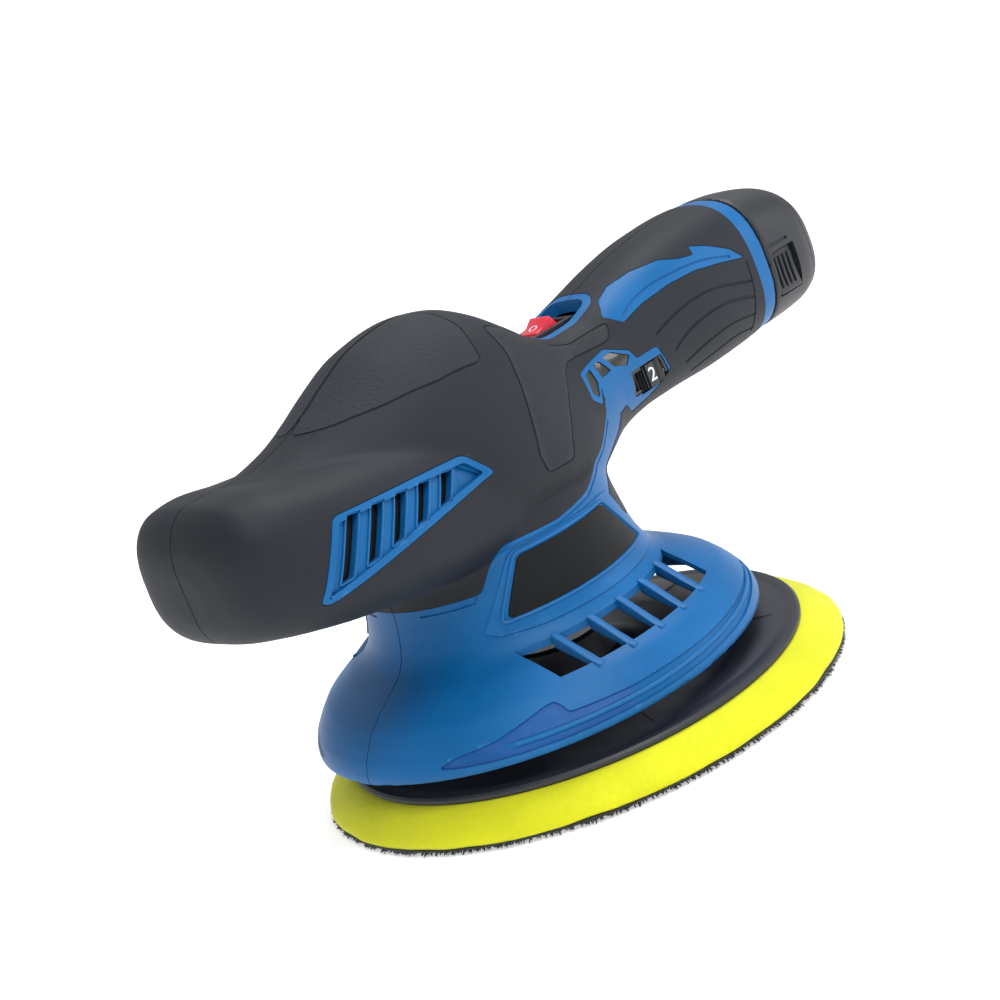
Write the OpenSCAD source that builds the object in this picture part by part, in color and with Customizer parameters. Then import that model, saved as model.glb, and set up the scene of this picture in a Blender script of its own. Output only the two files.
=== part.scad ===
// Cordless dual action polisher: two-handed clamshell body, orbiting 150 mm hook pad.
// Frame: origin where the motor axis meets the pad's working face, +Z up along the motor axis,
// +X towards the battery, -Y the tool's left side.

/* [Pad] */
// Radius of the hook face
pad_r = 75; // [70:1:80]
// Thickness of the hook fleece
hook_t = 1.5; // [1:0.1:2]
// Height of the top of the foam
foam_top = 9; // [8:0.5:9]
// Radius of the backing plate
plate_r = 65; // [60:1:68]

/* [Orbit] */
// Offset of the pad axis from the motor axis along X
orbit_x = 6; // [4:0.5:6]
// Offset of the pad axis from the motor axis along Y
orbit_y = -4.5; // [-4.5:0.5:-3]

/* [Housing] */
// Thickness of the soft grip skin
skin = 1.2; // [1:0.1:1.4]
// Thickness of the hard shell under the skin
wall = 2.2; // [2:0.1:2.4]
// Radius of the skirt at its rim
skirt_r = 64; // [62:0.5:66]
// Height of the skirt's rim above the working face
skirt_z = 17; // [16:0.5:18]

/* [Motor] */
// Radius of the motor can
can_r = 18.5; // [17:0.5:18.5]
// Height of the top of the motor can
can_top = 105; // [98:1:105]
// Radius of the motor shaft
shaft_r = 2.5; // [2:0.1:2.5]

/* [Controls] */
// Radius of the speed dial
dial_r = 10.5; // [10:0.1:10.7]
// Height of the speed dial
dial_h = 6.6; // [6:0.1:6.8]
// Angle at which the rocker rests
rocker_tilt = -11; // [-11:1:-9]

/* [Battery] */
// Radius of one cell
cell_r = 7; // [6.5:0.1:7]
// Length of one cell
cell_l = 50; // [45:1:50]
// Travel clearance between stem and socket
stem_gap = 0.4; // [0.3:0.1:0.6]

/* [Hidden] */

// Colours
BLUE = [0.02, 0.42, 0.68];
BLACK = [0.13, 0.15, 0.18];
STEEL = [0.70, 0.71, 0.73];
RED = [0.88, 0.10, 0.22];
YELLOW = [0.90, 0.90, 0.05];

EPS = 0.01;
BIG = 400;
RING_POINTS = 32;
ROUND_FN = 96;
SHELL_FN = 72;
BORE_FN = 48;
RUN_GAP = 0.05;

// ---- outer form -------------------------------------------------------------------------------
// Stations along X: [x, lowest z, highest z, half width, superellipse exponent, top taper]
NOSE = [
  [-91, 78, 92, 7, 2.4, 0.00],
  [-90.2, 75, 96.6, 15, 2.6, 0.03],
  [-88.4, 72, 100.4, 21.5, 2.8, 0.05],
  [-85.4, 70, 103.9, 26, 3.0, 0.06],
  [-81, 68.6, 105.8, 29.2, 3.2, 0.08],
  [-75, 67, 105.8, 31.6, 3.4, 0.09],
  [-62, 63.9, 103.6, 33.5, 3.5, 0.10],
  [-45, 60.9, 101.4, 34.4, 3.5, 0.10],
  [-28, 58.8, 99.5, 34.5, 3.5, 0.10],
  [-14, 58, 98.5, 33.8, 3.4, 0.10],
  [-8, 58.5, 97, 32.4, 3.2, 0.10],
  [-4, 60, 94.5, 29.5, 3.0, 0.08],
  [-1, 64, 90, 24, 2.8, 0.05]
];
BODY = [
  [-80, 86, 101, 10, 2.4, 0.10],
  [-74, 82, 105.2, 16, 2.4, 0.12],
  [-62, 74, 104.9, 21, 2.4, 0.15],
  [-50, 66, 107, 25, 2.4, 0.20],
  [-40, 60, 110.8, 28, 2.4, 0.24],
  [-30, 57, 115.6, 30.5, 2.4, 0.26],
  [-18, 55, 120.2, 32.5, 2.4, 0.27],
  [-4, 54, 121.8, 33.5, 2.4, 0.26],
  [6, 54, 120.4, 33.2, 2.4, 0.24],
  [14, 54, 116.4, 32, 2.4, 0.22],
  [22, 55, 110, 30, 2.4, 0.20],
  [30, 57.5, 103, 27.2, 2.4, 0.15],
  [38, 61, 99.2, 24.4, 2.5, 0.10],
  [46, 63.8, 99.4, 22, 2.6, 0.06],
  [54, 65.2, 101.8, 20.8, 2.6, 0.06],
  [64, 66, 104.4, 20.4, 2.6, 0.06],
  [74, 66, 106.8, 20.6, 2.6, 0.05],
  [90, 65.6, 109.2, 21.2, 2.6, 0.04],
  [104, 66, 109.8, 20.9, 2.6, 0.03],
  [116.5, 66.8, 109, 20.3, 2.6, 0.02]
];
BATTERY = [
  [116.5, 66.8, 109, 20.3, 2.6, 0.02],
  [124, 67, 108.2, 20.1, 2.6, 0.02],
  [132, 67.6, 106.4, 19.6, 2.6, 0.02],
  [137.5, 69, 103.8, 18, 2.6, 0.02],
  [141, 71.4, 100.4, 15.4, 2.6, 0.02],
  [143, 75.5, 96, 10, 2.5, 0.02]
];
STEM = [
  [71, 71.2, 101.2, 16.2, 3.4, 0.00],
  [72, 70.2, 102.2, 16.6, 3.4, 0.00],
  [82, 70.2, 104.8, 16.6, 3.4, 0.00],
  [116.5, 70.2, 105, 16.6, 3.4, 0.00]
];
CELL_BAY = [
  [100, 71.2, 104, 15.6, 3.4, 0.00],
  [126, 71.6, 103.4, 15.4, 3.4, 0.00],
  [136, 73.6, 101.6, 14.6, 3.6, 0.00]
];
// Half profile of neck and skirt: [radius, height]
SKIRT = [
  [skirt_r, skirt_z], [skirt_r + 0.3, skirt_z + 2], [skirt_r - 1, skirt_z + 5.5],
  [skirt_r - 3.5, 26], [skirt_r - 6.5, 29.3], [54, 31.6], [42.8, 38.2], [40.6, 41],
  [39, 45], [37.8, 50], [37, 56], [36.6, 68]
];
SKIRT_WALL = 3;

// Side-view outlines [x, z]
NECK_ZONE = [
  [-75, 0], [-75, 52], [-27, 53.5], [-24, 58.5], [-20.5, 63.5], [-4, 63], [9, 64.5], [24, 70.5],
  [33, 77], [35, 80], [40, 73.5], [37, 70], [27, 64], [19, 58], [26, 50], [52, 47], [75, 47],
  [75, 0]
];
CONTROL_ZONE = [
  [31, 89], [45, 90.5], [53.5, 86.5], [55, 83.4], [63.5, 83.4], [66.5, 75.5], [62, 73],
  [56, 71.5], [47, 71], [44.5, 74.3], [40, 73.5], [35, 80], [36, 83], [33, 79], [29.5, 82]
];
ACCENT_ZONE = [
  [53, 97], [57, 100.5], [63, 102.5], [71, 103.5], [80, 103], [85, 101], [90.5, 100],
  [91, 102.5], [96, 100.5], [103, 96.5], [107, 92.3], [97.5, 94.5], [87.5, 96.3], [77, 96.5],
  [66, 95.5], [57, 93.5]
];
VENT_ZONE = [[-63.5, 93], [-21, 89.5], [-15, 82], [-73.5, 75], [-76, 76]];
BADGE_ZONE = [[-25.5, 45.5], [22.5, 45.5], [12.5, 59.5], [-17.5, 59.5]];
LENS_ZONES = [
  [[31, 83], [33, 88], [36, 88.5], [36, 84.5], [33.5, 81]],
  [[38, 88.7], [41, 88.7], [43.5, 84.8], [38.5, 84.5]],
  [[43, 89], [47, 88.8], [53, 85.4], [50.5, 83.2], [47, 84.6], [45.5, 84.8]]
];

// Mechanism heights
PLATE_HUB_TOP = 24;
CUP_LOW = 25.5;
CUP_TOP = 45.5;
BEARING_R = 11;
BEARING_H = 7;
BEARING_LOW_Z = 26.2;
BEARING_UP_Z = 34.4;
SPINDLE_R = 4;
FAN_Z = 46;
FAN_R = 31;
FAN_H = 8;
MOUNT_Z = 56;
MOUNT_H = 3;
CAN_Z = MOUNT_Z + MOUNT_H;
MOTOR_BUSH_R = 6.5;
COUNTER_ANGLE = atan2(-orbit_y, -orbit_x);

// Controls
ROCKER_X = 44;
ROCKER_Z = 97.8;
DIAL = [58.5, -10, 73.8];
SCREWS = [[-84.6, 87], [-42, 68.5], [-38, 100], [29.5, 68], [31, 95]];
SCREW_R = 1.5;
CELLS = [[-7.1, 81.5], [7.1, 81.5], [0, 93.9]];
CELL_X = 84;
HANDLE_END = 116.5;
RING_X = 110.5;
LATCH = [118.3, 129, 75.2, 88.8];
LATCH_TRAVEL = 1.6;
LATCH_TAB_TOP = 95.3;
LATCH_FACE_Y = 18.6;
LATCH_GAP = 0.35;
LATCH_SEAT_Y = 8.6;
LATCH_IN_Y = 16.2;

// Points of one closed section of a station, grown outwards by g
function section(s, x, g) = [
  for (i = [0:RING_POINTS - 1])
    let (a = 360 * i / RING_POINTS, c = cos(a), v = sin(a), p = 2 / s[4],
         h = (s[2] - s[1]) / 2 + g, u = sign(v) * pow(abs(v), p))
    [x, (s[3] + g) * (1 - s[5] * u) * sign(c) * pow(abs(c), p), (s[1] + s[2]) / 2 + h * u]
];

// Solid through the stations of a table, grown by g on its sides and by g at each marked end
module loft(table, g = 0, ends = [1, 1]) {
  n = len(table);
  m = RING_POINTS;
  x0 = table[0][0];
  x1 = table[n - 1][0];
  points = [
    for (s = table)
      let (t = (s[0] - x0) / (x1 - x0))
      each section(s, s[0] + g * (t * ends[1] - (1 - t) * ends[0]), g)
  ];
  polyhedron(points, [
    [for (i = [0:m - 1]) i],
    for (k = [0:n - 2], i = [0:m - 1])
      [k * m + i, (k + 1) * m + i, (k + 1) * m + (i + 1) % m, k * m + (i + 1) % m],
    [for (i = [m - 1:-1:0]) (n - 1) * m + i]
  ], convexity = 6);
}

// Solid of the neck and skirt, grown by g in radius, its foot moved down by drop
module skirt_form(g = 0, drop = 0) {
  rotate_extrude($fn = SHELL_FN)
    polygon(concat([[0, skirt_z - drop], [SKIRT[0][0] + g, skirt_z - drop]],
      [for (p = SKIRT) [p[0] + g, p[1]]], [[0, 68]]));
}

// The whole housing, grown by g
module housing_form(g = 0) {
  loft(NOSE, g);
  loft(BODY, g, [1, 0]);
  skirt_form(g);
}

// Prism of a side-view outline over a range of Y
module side_prism(outline, y0, y1) {
  translate([0, y1, 0])
    rotate([90, 0, 0])
      linear_extrude(y1 - y0)
        polygon(outline);
}

// Half space of one side: -1 is left, 1 is right
module side_half(side) {
  translate([-BIG / 2, side < 0 ? -BIG : 0, -BIG / 2])
    cube([BIG, BIG, BIG]);
}

// Places where the hard blue shell comes through to the surface
module blue_zones() {
  side_prism(NECK_ZONE, -80, 80);
  side_prism(ACCENT_ZONE, -80, -10);
  side_prism(ACCENT_ZONE, 10, 80);
  side_prism(CONTROL_ZONE, -80, 0);
  translate([RING_X, -30, 50])
    cube([20, 60, 80]);
  switch_zone(2.4, 94);
}

// Rounded rectangle round the rocker switch, from height z0 up
module switch_zone(grow, z0) {
  translate([ROCKER_X, 0, z0])
    linear_extrude(30)
      offset(4 + grow)
        square([17, 8], center = true);
}

module side_vents() {
  side_prism(VENT_ZONE, -80, -22);
  side_prism(VENT_ZONE, 22, 80);
}

module skirt_windows() {
  pitch = 10;
  rib = 2;
  for (side = [-1, 1], i = [-3:2])
    translate([i * pitch + rib / 2, side < 0 ? -70 : 0, 32.2])
      cube([pitch - rib, 70, 5.4]);
}

// Bodies of the screw bosses; the hole is cut by boss_holes
module bosses() {
  for (s = SCREWS)
    translate([s[0], 0, s[1]])
      rotate([90, 0, 0])
        cylinder(r = 3.6, h = 80, center = true, $fn = 24);
}

module boss_holes() {
  for (s = SCREWS)
    translate([s[0], 0, s[1]])
      rotate([90, 0, 0]) {
        cylinder(r = SCREW_R + 0.1, h = 30, center = true, $fn = 24);
        translate([0, 0, -50])
          cylinder(r = 3, h = 38, $fn = 24);
      }
}

// Ribs that hold the motor and the mount plate inside the shells
module inner_ribs() {
  for (z = [68, 92])
    difference() {
      translate([-27, -40, z])
        cube([54, 80, 2.4]);
      translate([0, 0, z - 1])
        cylinder(r = can_r + 0.2, h = 5, $fn = SHELL_FN);
    }
  rotate_extrude($fn = SHELL_FN)
    polygon([[32, 52.5], [36, 52.5], [36, MOUNT_Z], [32, MOUNT_Z]]);
}

// Space inside the shells
module cavity() {
  loft(NOSE, -(skin + wall));
  loft(BODY, -(skin + wall), [1, 0]);
  translate([0, 0, -EPS])
    skirt_form(-SKIRT_WALL, 6);
}

module socket() {
  loft(STEM, stem_gap, [0, 1]);
}

module shell(side) {
  color(BLUE)
    resize([0, 0, 0])
      difference() {
        intersection() {
          side_half(side);
          union() {
            housing_form(-skin);
            intersection() {
              housing_form();
              blue_zones();
            }
          }
        }
        difference() {
          cavity();
          bosses();
          inner_ribs();
        }
        boss_holes();
        socket();
        side_vents();
        skirt_windows();
        badge_form();
        switch_recess();
        dial_slot();
        pot_block();
        lens_holes();
      }
}

// Sunken pocket of the rocker switch and the hole for its body
module switch_recess() {
  switch_zone(0, ROCKER_Z);
  translate([ROCKER_X - 7.3, -5.2, 80])
    cube([14.6, 10.4, 30]);
}

module dial_slot() {
  translate([DIAL[0], DIAL[1], DIAL[2] - 0.5])
    cylinder(r = dial_r + 0.5, h = dial_h + 1, $fn = 64);
}

module grip(side) {
  color(BLACK)
    resize([0, 0, 0])
      difference() {
        intersection() {
          side_half(side);
          housing_form();
        }
        housing_form(-skin);
        blue_zones();
        side_vents();
        boss_holes();
        badge_form();
        dial_slot();
      }
}

module shell_left() {
  shell(-1);
}

module shell_right() {
  shell(1);
}

module grip_left() {
  grip(-1);
}

module grip_right() {
  grip(1);
}

module vent_grille(side) {
  color(BLUE)
    resize([0, 0, 0])
      difference() {
        intersection() {
          housing_form();
          side_vents();
          side_half(side);
        }
        housing_form(-2.4);
        for (i = [0:4])
          translate([-67.5 + 8.9 * i, side < 0 ? -60 : 0, 77.3 + 0.9 * i])
            side_prism([[0, 0], [3.6, 0.3], [11.4 - 1.4 * i, 14.2 - 1.6 * i],
              [7.6 - 1.4 * i, 14.4 - 1.6 * i]], 0, 60);
      }
}

module vent_grille_left() {
  vent_grille(-1);
}

module vent_grille_right() {
  vent_grille(1);
}

// Both name plates: curved, standing 0.5 proud of the neck
module badge_form() {
  for (side = [-1, 1])
    intersection() {
      side_prism(BADGE_ZONE, side < 0 ? -60 : 20, side < 0 ? -20 : 60);
      difference() {
        skirt_form(0.5);
        skirt_form(-1);
      }
    }
}

module badge(side) {
  color(BLACK)
    resize([0, 0, 0])
      intersection() {
        badge_form();
        side_half(side);
      }
}

module badge_left() {
  badge(-1);
}

module badge_right() {
  badge(1);
}

module lens_holes() {
  for (outline = LENS_ZONES)
    side_prism(outline, -40, -12);
}

module lens_form() {
  intersection() {
    difference() {
      housing_form(-0.3);
      housing_form(-2.4);
    }
    lens_holes();
  }
}

module indicator_lens() {
  color([0.3, 0.3, 0.28])
    resize([0, 0, 0])
      lens_form();
}

module indicator_board() {
  color("darkgreen") {
    translate([31, -15.6, 81.4])
      cube([23, 1.2, 8.6]);
    for (x = [34, 40.5, 48])
      translate([x, -15.6, 85.6])
        rotate([90, 0, 0])
          cylinder(r = 1.2, h = 1.6, $fn = 24);
  }
}

module housing_screws() {
  color(STEEL)
    for (s = SCREWS)
      translate([s[0], 0, s[1]])
        rotate([90, 0, 0]) {
          translate([0, 0, -12])
            cylinder(r = SCREW_R, h = 24, $fn = 24);
          difference() {
            translate([0, 0, -14.4])
              cylinder(r = 2.7, h = 2.4, $fn = 24);
            translate([0, 0, -14.5])
              cylinder(r = 1.2, h = 1.4, $fn = 6);
          }
        }
}

// ---- motor ------------------------------------------------------------------------------------
module motor_can() {
  color(STEEL)
    difference() {
      translate([0, 0, CAN_Z])
        cylinder(r = can_r, h = can_top - CAN_Z, $fn = ROUND_FN);
      translate([0, 0, CAN_Z + 1.5])
        cylinder(r = can_r - 1.5, h = can_top, $fn = ROUND_FN);
      translate([0, 0, CAN_Z - 1])
        cylinder(r = MOTOR_BUSH_R, h = 5, $fn = BORE_FN);
      for (a = [90, 270])
        rotate(a)
          translate([12, 0, CAN_Z - 1])
            cylinder(r = 1.5, h = 5, $fn = 24);
      for (a = [45:90:315])
        rotate(a)
          translate([12, 0, CAN_Z - 1])
            cylinder(r = 2.4, h = 5, $fn = 24);
    }
}

module motor_end_cap() {
  color(BLACK)
    difference() {
      union() {
        translate([0, 0, can_top])
          cylinder(r = can_r, h = 2.5, $fn = ROUND_FN);
        translate([0, 0, can_top - 3])
          cylinder(r = can_r - 1.5, h = 3, $fn = ROUND_FN);
        translate([0, 0, can_top + 2.5])
          cylinder(r = 8, h = 1.5, $fn = BORE_FN);
      }
      translate([0, 0, can_top - 4])
        cylinder(r = MOTOR_BUSH_R, h = 10, $fn = BORE_FN);
    }
}

module motor_magnets() {
  color([0.3, 0.3, 0.32])
    for (a = [0, 180])
      rotate(a - 65)
        rotate_extrude(angle = 130, $fn = ROUND_FN)
          translate([can_r - 4.7, CAN_Z + 6])
            square([3.2, can_top - CAN_Z - 14]);
}

module bush(z, h) {
  color([0.75, 0.6, 0.3])
    translate([0, 0, z])
      difference() {
        cylinder(r = MOTOR_BUSH_R, h = h, $fn = BORE_FN);
        translate([0, 0, -1])
          cylinder(r = shaft_r + RUN_GAP, h = h + 2, $fn = BORE_FN);
      }
}

module motor_bearing_front() {
  bush(CAN_Z, 4);
}

module motor_bearing_rear() {
  bush(can_top - 0.5, 4);
}

module motor_mount_plate() {
  color(STEEL)
    difference() {
      translate([0, 0, MOUNT_Z])
        cylinder(r = 33.2, h = MOUNT_H, $fn = ROUND_FN);
      translate([0, 0, MOUNT_Z - 1])
        cylinder(r = 8, h = 5, $fn = BORE_FN);
      for (a = [90, 270])
        rotate(a)
          translate([12, 0, MOUNT_Z - 1])
            cylinder(r = 1.6, h = 5, $fn = 24);
      for (a = [0:45:315])
        rotate(a + 22.5)
          translate([26, 0, MOUNT_Z - 1])
            cylinder(r = 5.5, h = 5, $fn = 32);
    }
}

module motor_screws() {
  color(STEEL)
    for (a = [90, 270])
      rotate(a)
        translate([12, 0, 0]) {
          translate([0, 0, MOUNT_Z - 2])
            cylinder(r = 2.8, h = 2, $fn = 24);
          translate([0, 0, MOUNT_Z - EPS])
            cylinder(r = 1.45, h = 5, $fn = 24);
        }
}

module motor_shaft() {
  color(STEEL)
    translate([0, 0, CUP_TOP + 0.2])
      cylinder(r = shaft_r, h = can_top + 4.6 - CUP_TOP, $fn = BORE_FN);
}

module armature() {
  color([0.55, 0.3, 0.15])
    difference() {
      translate([0, 0, CAN_Z + 8])
        cylinder(r = can_r - 5.7, h = can_top - CAN_Z - 20, $fn = 64);
      translate([0, 0, CAN_Z])
        cylinder(r = shaft_r, h = 60, $fn = BORE_FN);
      for (i = [0:4])
        rotate(i * 72)
          translate([can_r - 8, -0.8, CAN_Z])
            cube([4, 1.6, 60]);
    }
}

module commutator() {
  color([0.8, 0.5, 0.3])
    difference() {
      translate([0, 0, can_top - 11])
        cylinder(r = 5, h = 7, $fn = BORE_FN);
      translate([0, 0, can_top - 12])
        cylinder(r = shaft_r, h = 10, $fn = BORE_FN);
    }
}

// ---- fan, eccentric and pad -------------------------------------------------------------------
module cooling_fan() {
  blades = 14;
  color([0.75, 0.76, 0.78])
    difference() {
      union() {
        translate([0, 0, FAN_Z])
          cylinder(r = FAN_R, h = 1.5, $fn = ROUND_FN);
        translate([0, 0, FAN_Z])
          cylinder(r = 10, h = FAN_H, $fn = 64);
        for (i = [0:blades - 1])
          rotate(i * 360 / blades)
            translate([9.5, -0.6, FAN_Z + 1])
              cube([FAN_R - 10, 1.2, FAN_H - 1]);
      }
      translate([0, 0, FAN_Z - 1])
        cylinder(r = 7, h = FAN_H + 2, $fn = BORE_FN);
    }
}

module eccentric_hub() {
  color(STEEL)
    difference() {
      union() {
        translate([orbit_x, orbit_y, CUP_LOW])
          cylinder(r = 15, h = CUP_TOP - CUP_LOW, $fn = 64);
        translate([0, 0, CUP_TOP - 2.5])
          cylinder(r = 17, h = 2.5, $fn = 64);
        translate([0, 0, CUP_TOP - 1])
          cylinder(r = 7, h = FAN_Z + FAN_H - CUP_TOP + 1, $fn = BORE_FN);
        counter_arm();
      }
      translate([orbit_x, orbit_y, CUP_LOW - 1])
        cylinder(r = BEARING_R, h = 19, $fn = 64);
      translate([0, 0, CUP_TOP + 0.2])
        cylinder(r = shaft_r, h = 20, $fn = BORE_FN);
      translate([0, 0, FAN_Z + FAN_H - 2])
        rotate(COUNTER_ANGLE)
          rotate([0, 90, 0])
            cylinder(r = 1.2, h = 12, $fn = 24);
      rotate(COUNTER_ANGLE)
        translate([23, 0, 30])
          cylinder(r = 5, h = 30, $fn = BORE_FN);
    }
}

// Sector that carries the balance weight, opposite the pad axis
module counter_arm() {
  rotate(COUNTER_ANGLE - 60)
    rotate_extrude(angle = 120, $fn = ROUND_FN)
      translate([12, CUP_TOP - 12])
        square([18, 12]);
}

module counterweight() {
  color([0.45, 0.42, 0.35])
    rotate(COUNTER_ANGLE)
      translate([23, 0, CUP_TOP - 12])
        cylinder(r = 5, h = 12, $fn = BORE_FN);
}

module hub_set_screw() {
  color([0.2, 0.2, 0.2])
    translate([0, 0, FAN_Z + FAN_H - 2])
      rotate(COUNTER_ANGLE)
        translate([shaft_r, 0, 0])
          rotate([0, 90, 0])
            cylinder(r = 1.2, h = 4, $fn = 24);
}

module spindle_bearing(z) {
  color(STEEL)
    translate([orbit_x, orbit_y, z])
      difference() {
        cylinder(r = BEARING_R, h = BEARING_H, $fn = 64);
        translate([0, 0, -1])
          cylinder(r = SPINDLE_R + RUN_GAP, h = BEARING_H + 2, $fn = BORE_FN);
        for (z_cut = [-EPS, BEARING_H - 0.5])
          translate([0, 0, z_cut])
            difference() {
              cylinder(r = 9.3, h = 0.51, $fn = 64);
              translate([0, 0, -1])
                cylinder(r = 6, h = 3, $fn = 64);
            }
      }
}

module spindle_bearing_lower() {
  spindle_bearing(BEARING_LOW_Z);
}

module spindle_bearing_upper() {
  spindle_bearing(BEARING_UP_Z);
}

module spindle() {
  color(STEEL)
    translate([orbit_x, orbit_y, 0])
      difference() {
        union() {
          translate([0, 0, 11])
            cylinder(r = SPINDLE_R, h = 32.2, $fn = BORE_FN);
          translate([0, 0, PLATE_HUB_TOP])
            cylinder(r = 6, h = 1.8, $fn = BORE_FN);
        }
        translate([0, 0, 41.9])
          difference() {
            cylinder(r = 6, h = 0.8, $fn = BORE_FN);
            translate([0, 0, -1])
              cylinder(r = 3.2, h = 3, $fn = BORE_FN);
          }
      }
}

module spindle_clip() {
  color([0.2, 0.2, 0.2])
    translate([orbit_x, orbit_y, 41.9])
      difference() {
        cylinder(r = 6, h = 0.8, $fn = BORE_FN);
        translate([0, 0, -1])
          cylinder(r = 3.2, h = 3, $fn = BORE_FN);
        translate([2.6, -1, -1])
          cube([6, 2, 3]);
      }
}

module plate_insert() {
  color(STEEL)
    translate([orbit_x, orbit_y, 0])
      difference() {
        translate([0, 0, 11])
          cylinder(r = 9, h = PLATE_HUB_TOP - 11, $fn = 6);
        translate([0, 0, 10])
          cylinder(r = SPINDLE_R, h = 20, $fn = BORE_FN);
      }
}

module backing_plate() {
  color(BLACK)
    translate([orbit_x, orbit_y, 0])
      difference() {
        rotate_extrude($fn = ROUND_FN)
          polygon([[0, foam_top], [plate_r, foam_top], [plate_r, foam_top + 1.2],
            [plate_r - 1, foam_top + 1.8], [plate_r - 4, foam_top + 2.2], [42, 12.6], [22, 15],
            [16, 17.5], [14, 21], [14, PLATE_HUB_TOP], [0, PLATE_HUB_TOP]]);
        translate([0, 0, 11])
          cylinder(r = 9, h = 20, $fn = 6);
      }
}

module foam_pad() {
  color(YELLOW)
    translate([orbit_x, orbit_y, 0])
      rotate_extrude($fn = ROUND_FN)
        polygon([[0, hook_t], [pad_r, hook_t], [pad_r - 1.2, 3.6], [pad_r - 4, 6],
          [pad_r - 7.6, 8.2], [plate_r, foam_top], [0, foam_top]]);
}

module hook_face() {
  color([0.12, 0.12, 0.13])
    translate([orbit_x, orbit_y, 0])
      cylinder(r = pad_r, h = hook_t, $fn = ROUND_FN);
}

// ---- controls ---------------------------------------------------------------------------------
module switch_body() {
  color([0.08, 0.08, 0.09])
    difference() {
      union() {
        translate([ROCKER_X - 7, -4.9, 84])
          cube([14, 9.8, ROCKER_Z - 84]);
        translate([ROCKER_X - 8, -5.8, ROCKER_Z])
          cube([16, 11.6, 1.4]);
      }
      translate([ROCKER_X - 6.5, -4, 93])
        cube([13, 8, 10]);
      translate([ROCKER_X, 0, ROCKER_Z - 0.6])
        rotate([90, 0, 0])
          cylinder(r = 1 + RUN_GAP, h = 9.2, center = true, $fn = BORE_FN);
    }
}

module rocker_button() {
  color(RED)
    translate([ROCKER_X, 0, ROCKER_Z - 0.6])
      rotate([90, 0, 0]) {
        rotate(rocker_tilt)
          translate([0, 0, -3.6])
            linear_extrude(7.2)
              polygon([[-5.8, 0], [-5.6, 1.4], [0, 5.2], [5.6, 1.4], [5.8, 0], [3, -2.2], [-3, -2.2]]);
        cylinder(r = 1, h = 9, center = true, $fn = BORE_FN);
      }
}

module pot_block() {
  translate([DIAL[0] - 4, DIAL[1] - 2.5, 69.6])
    cube([8, 9, 3.7]);
}

module dial_pot() {
  color([0.2, 0.25, 0.2])
    difference() {
      pot_block();
      translate([DIAL[0], DIAL[1], 71])
        cylinder(r = 2 + RUN_GAP, h = 5, $fn = BORE_FN);
    }
}

module speed_dial() {
  grooves = 24;
  color([0.08, 0.08, 0.09])
    difference() {
      union() {
        translate(DIAL)
          cylinder(r = dial_r, h = dial_h, $fn = ROUND_FN);
        translate([DIAL[0], DIAL[1], 71.3])
          cylinder(r = 2, h = 5, $fn = BORE_FN);
      }
      for (i = [0:grooves - 1])
        if (i % 3 != 0)
          translate([DIAL[0], DIAL[1], DIAL[2] - 1])
            rotate(i * 360 / grooves)
              translate([dial_r + 0.3, 0, 0])
                cylinder(r = 0.8, h = dial_h + 2, $fn = 16);
    }
}

module control_board() {
  color("darkgreen") {
    translate([35.5, 9, 74])
      cube([26, 1.6, 19.3]);
    translate([38, 10.6 - EPS, 77])
      cube([9, 3, 9]);
    translate([50, 9 + EPS, 80])
      rotate([90, 0, 0])
        cylinder(r = 3, h = 6, $fn = 32);
  }
}

module terminal_block() {
  color(BLACK) {
    translate([65.6, -11, 82])
      cube([4.6, 22, 16]);
    for (y = [-6, 6])
      translate([70, y - 0.4, 84])
        cube([9, 0.8, 7]);
  }
}

module lead(from, length, axis) {
  translate(from)
    rotate(axis == 0 ? [0, 90, 0] : [90, 0, 0])
      cylinder(r = 0.9, h = length, $fn = 16);
}

module supply_leads() {
  color("crimson") {
    for (z = [88.5, 91.5])
      lead([54, 8.1, z], 11.6, 0);
    for (x = [40, 47])
      lead([x, 9, 88], 4.1, 1);
  }
}

module motor_leads() {
  color([0.1, 0.1, 0.1])
    for (y = [-12, 12])
      translate([0, y, 0]) {
        translate([0, 0, can_top + 2.5])
          cylinder(r = 0.9, h = 1.9, $fn = 16);
        translate([0, 0, can_top + 3.5])
          rotate([0, 90, 0])
            cylinder(r = 0.9, h = 10, $fn = 16);
      }
}

// ---- battery ----------------------------------------------------------------------------------
// Through window of each latch, and the pocket above it for the latch's tab
module latch_windows() {
  for (side = [-1, 1])
    mirror([0, side > 0 ? 0 : 1, 0]) {
      translate([LATCH[0], 14, LATCH[2]])
        cube([LATCH[1] - LATCH[0], 20, LATCH[3] - LATCH[2]]);
      translate([LATCH[0], 14, LATCH[3] - 1])
        cube([LATCH[1] - LATCH[0], 3.5, LATCH_TAB_TOP - LATCH[3] + 1]);
    }
}

module battery_case() {
  color(BLACK)
    resize([0, 0, 0])
      difference() {
        loft(BATTERY);
        difference() {
          loft(CELL_BAY);
          for (side = [-1, 1])
            translate([120, side < 0 ? -LATCH_SEAT_Y : LATCH_SEAT_Y - 1, 89.5])
              cube([20, 1, 5.5]);
        }
        latch_windows();
      }
}

module battery_stem() {
  color(BLACK)
    resize([0, 0, 0])
      difference() {
        loft(STEM);
        difference() {
          translate([2, 0, 0])
            loft(STEM, -1, [0, 0]);
          translate([-BIG / 2 + 73, -30, 50])
            cube([BIG / 2, 60, 80]);
        }
        for (y = [-6, 6])
          translate([60, y - 0.9, 83.2])
            cube([13.5, 1.8, 8.6]);
      }
}

module battery_cells() {
  color([0.2, 0.5, 0.3])
    for (c = CELLS)
      translate([CELL_X, c[0], c[1]])
        rotate([0, 90, 0])
          cylinder(r = cell_r, h = cell_l, $fn = 64);
}

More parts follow.
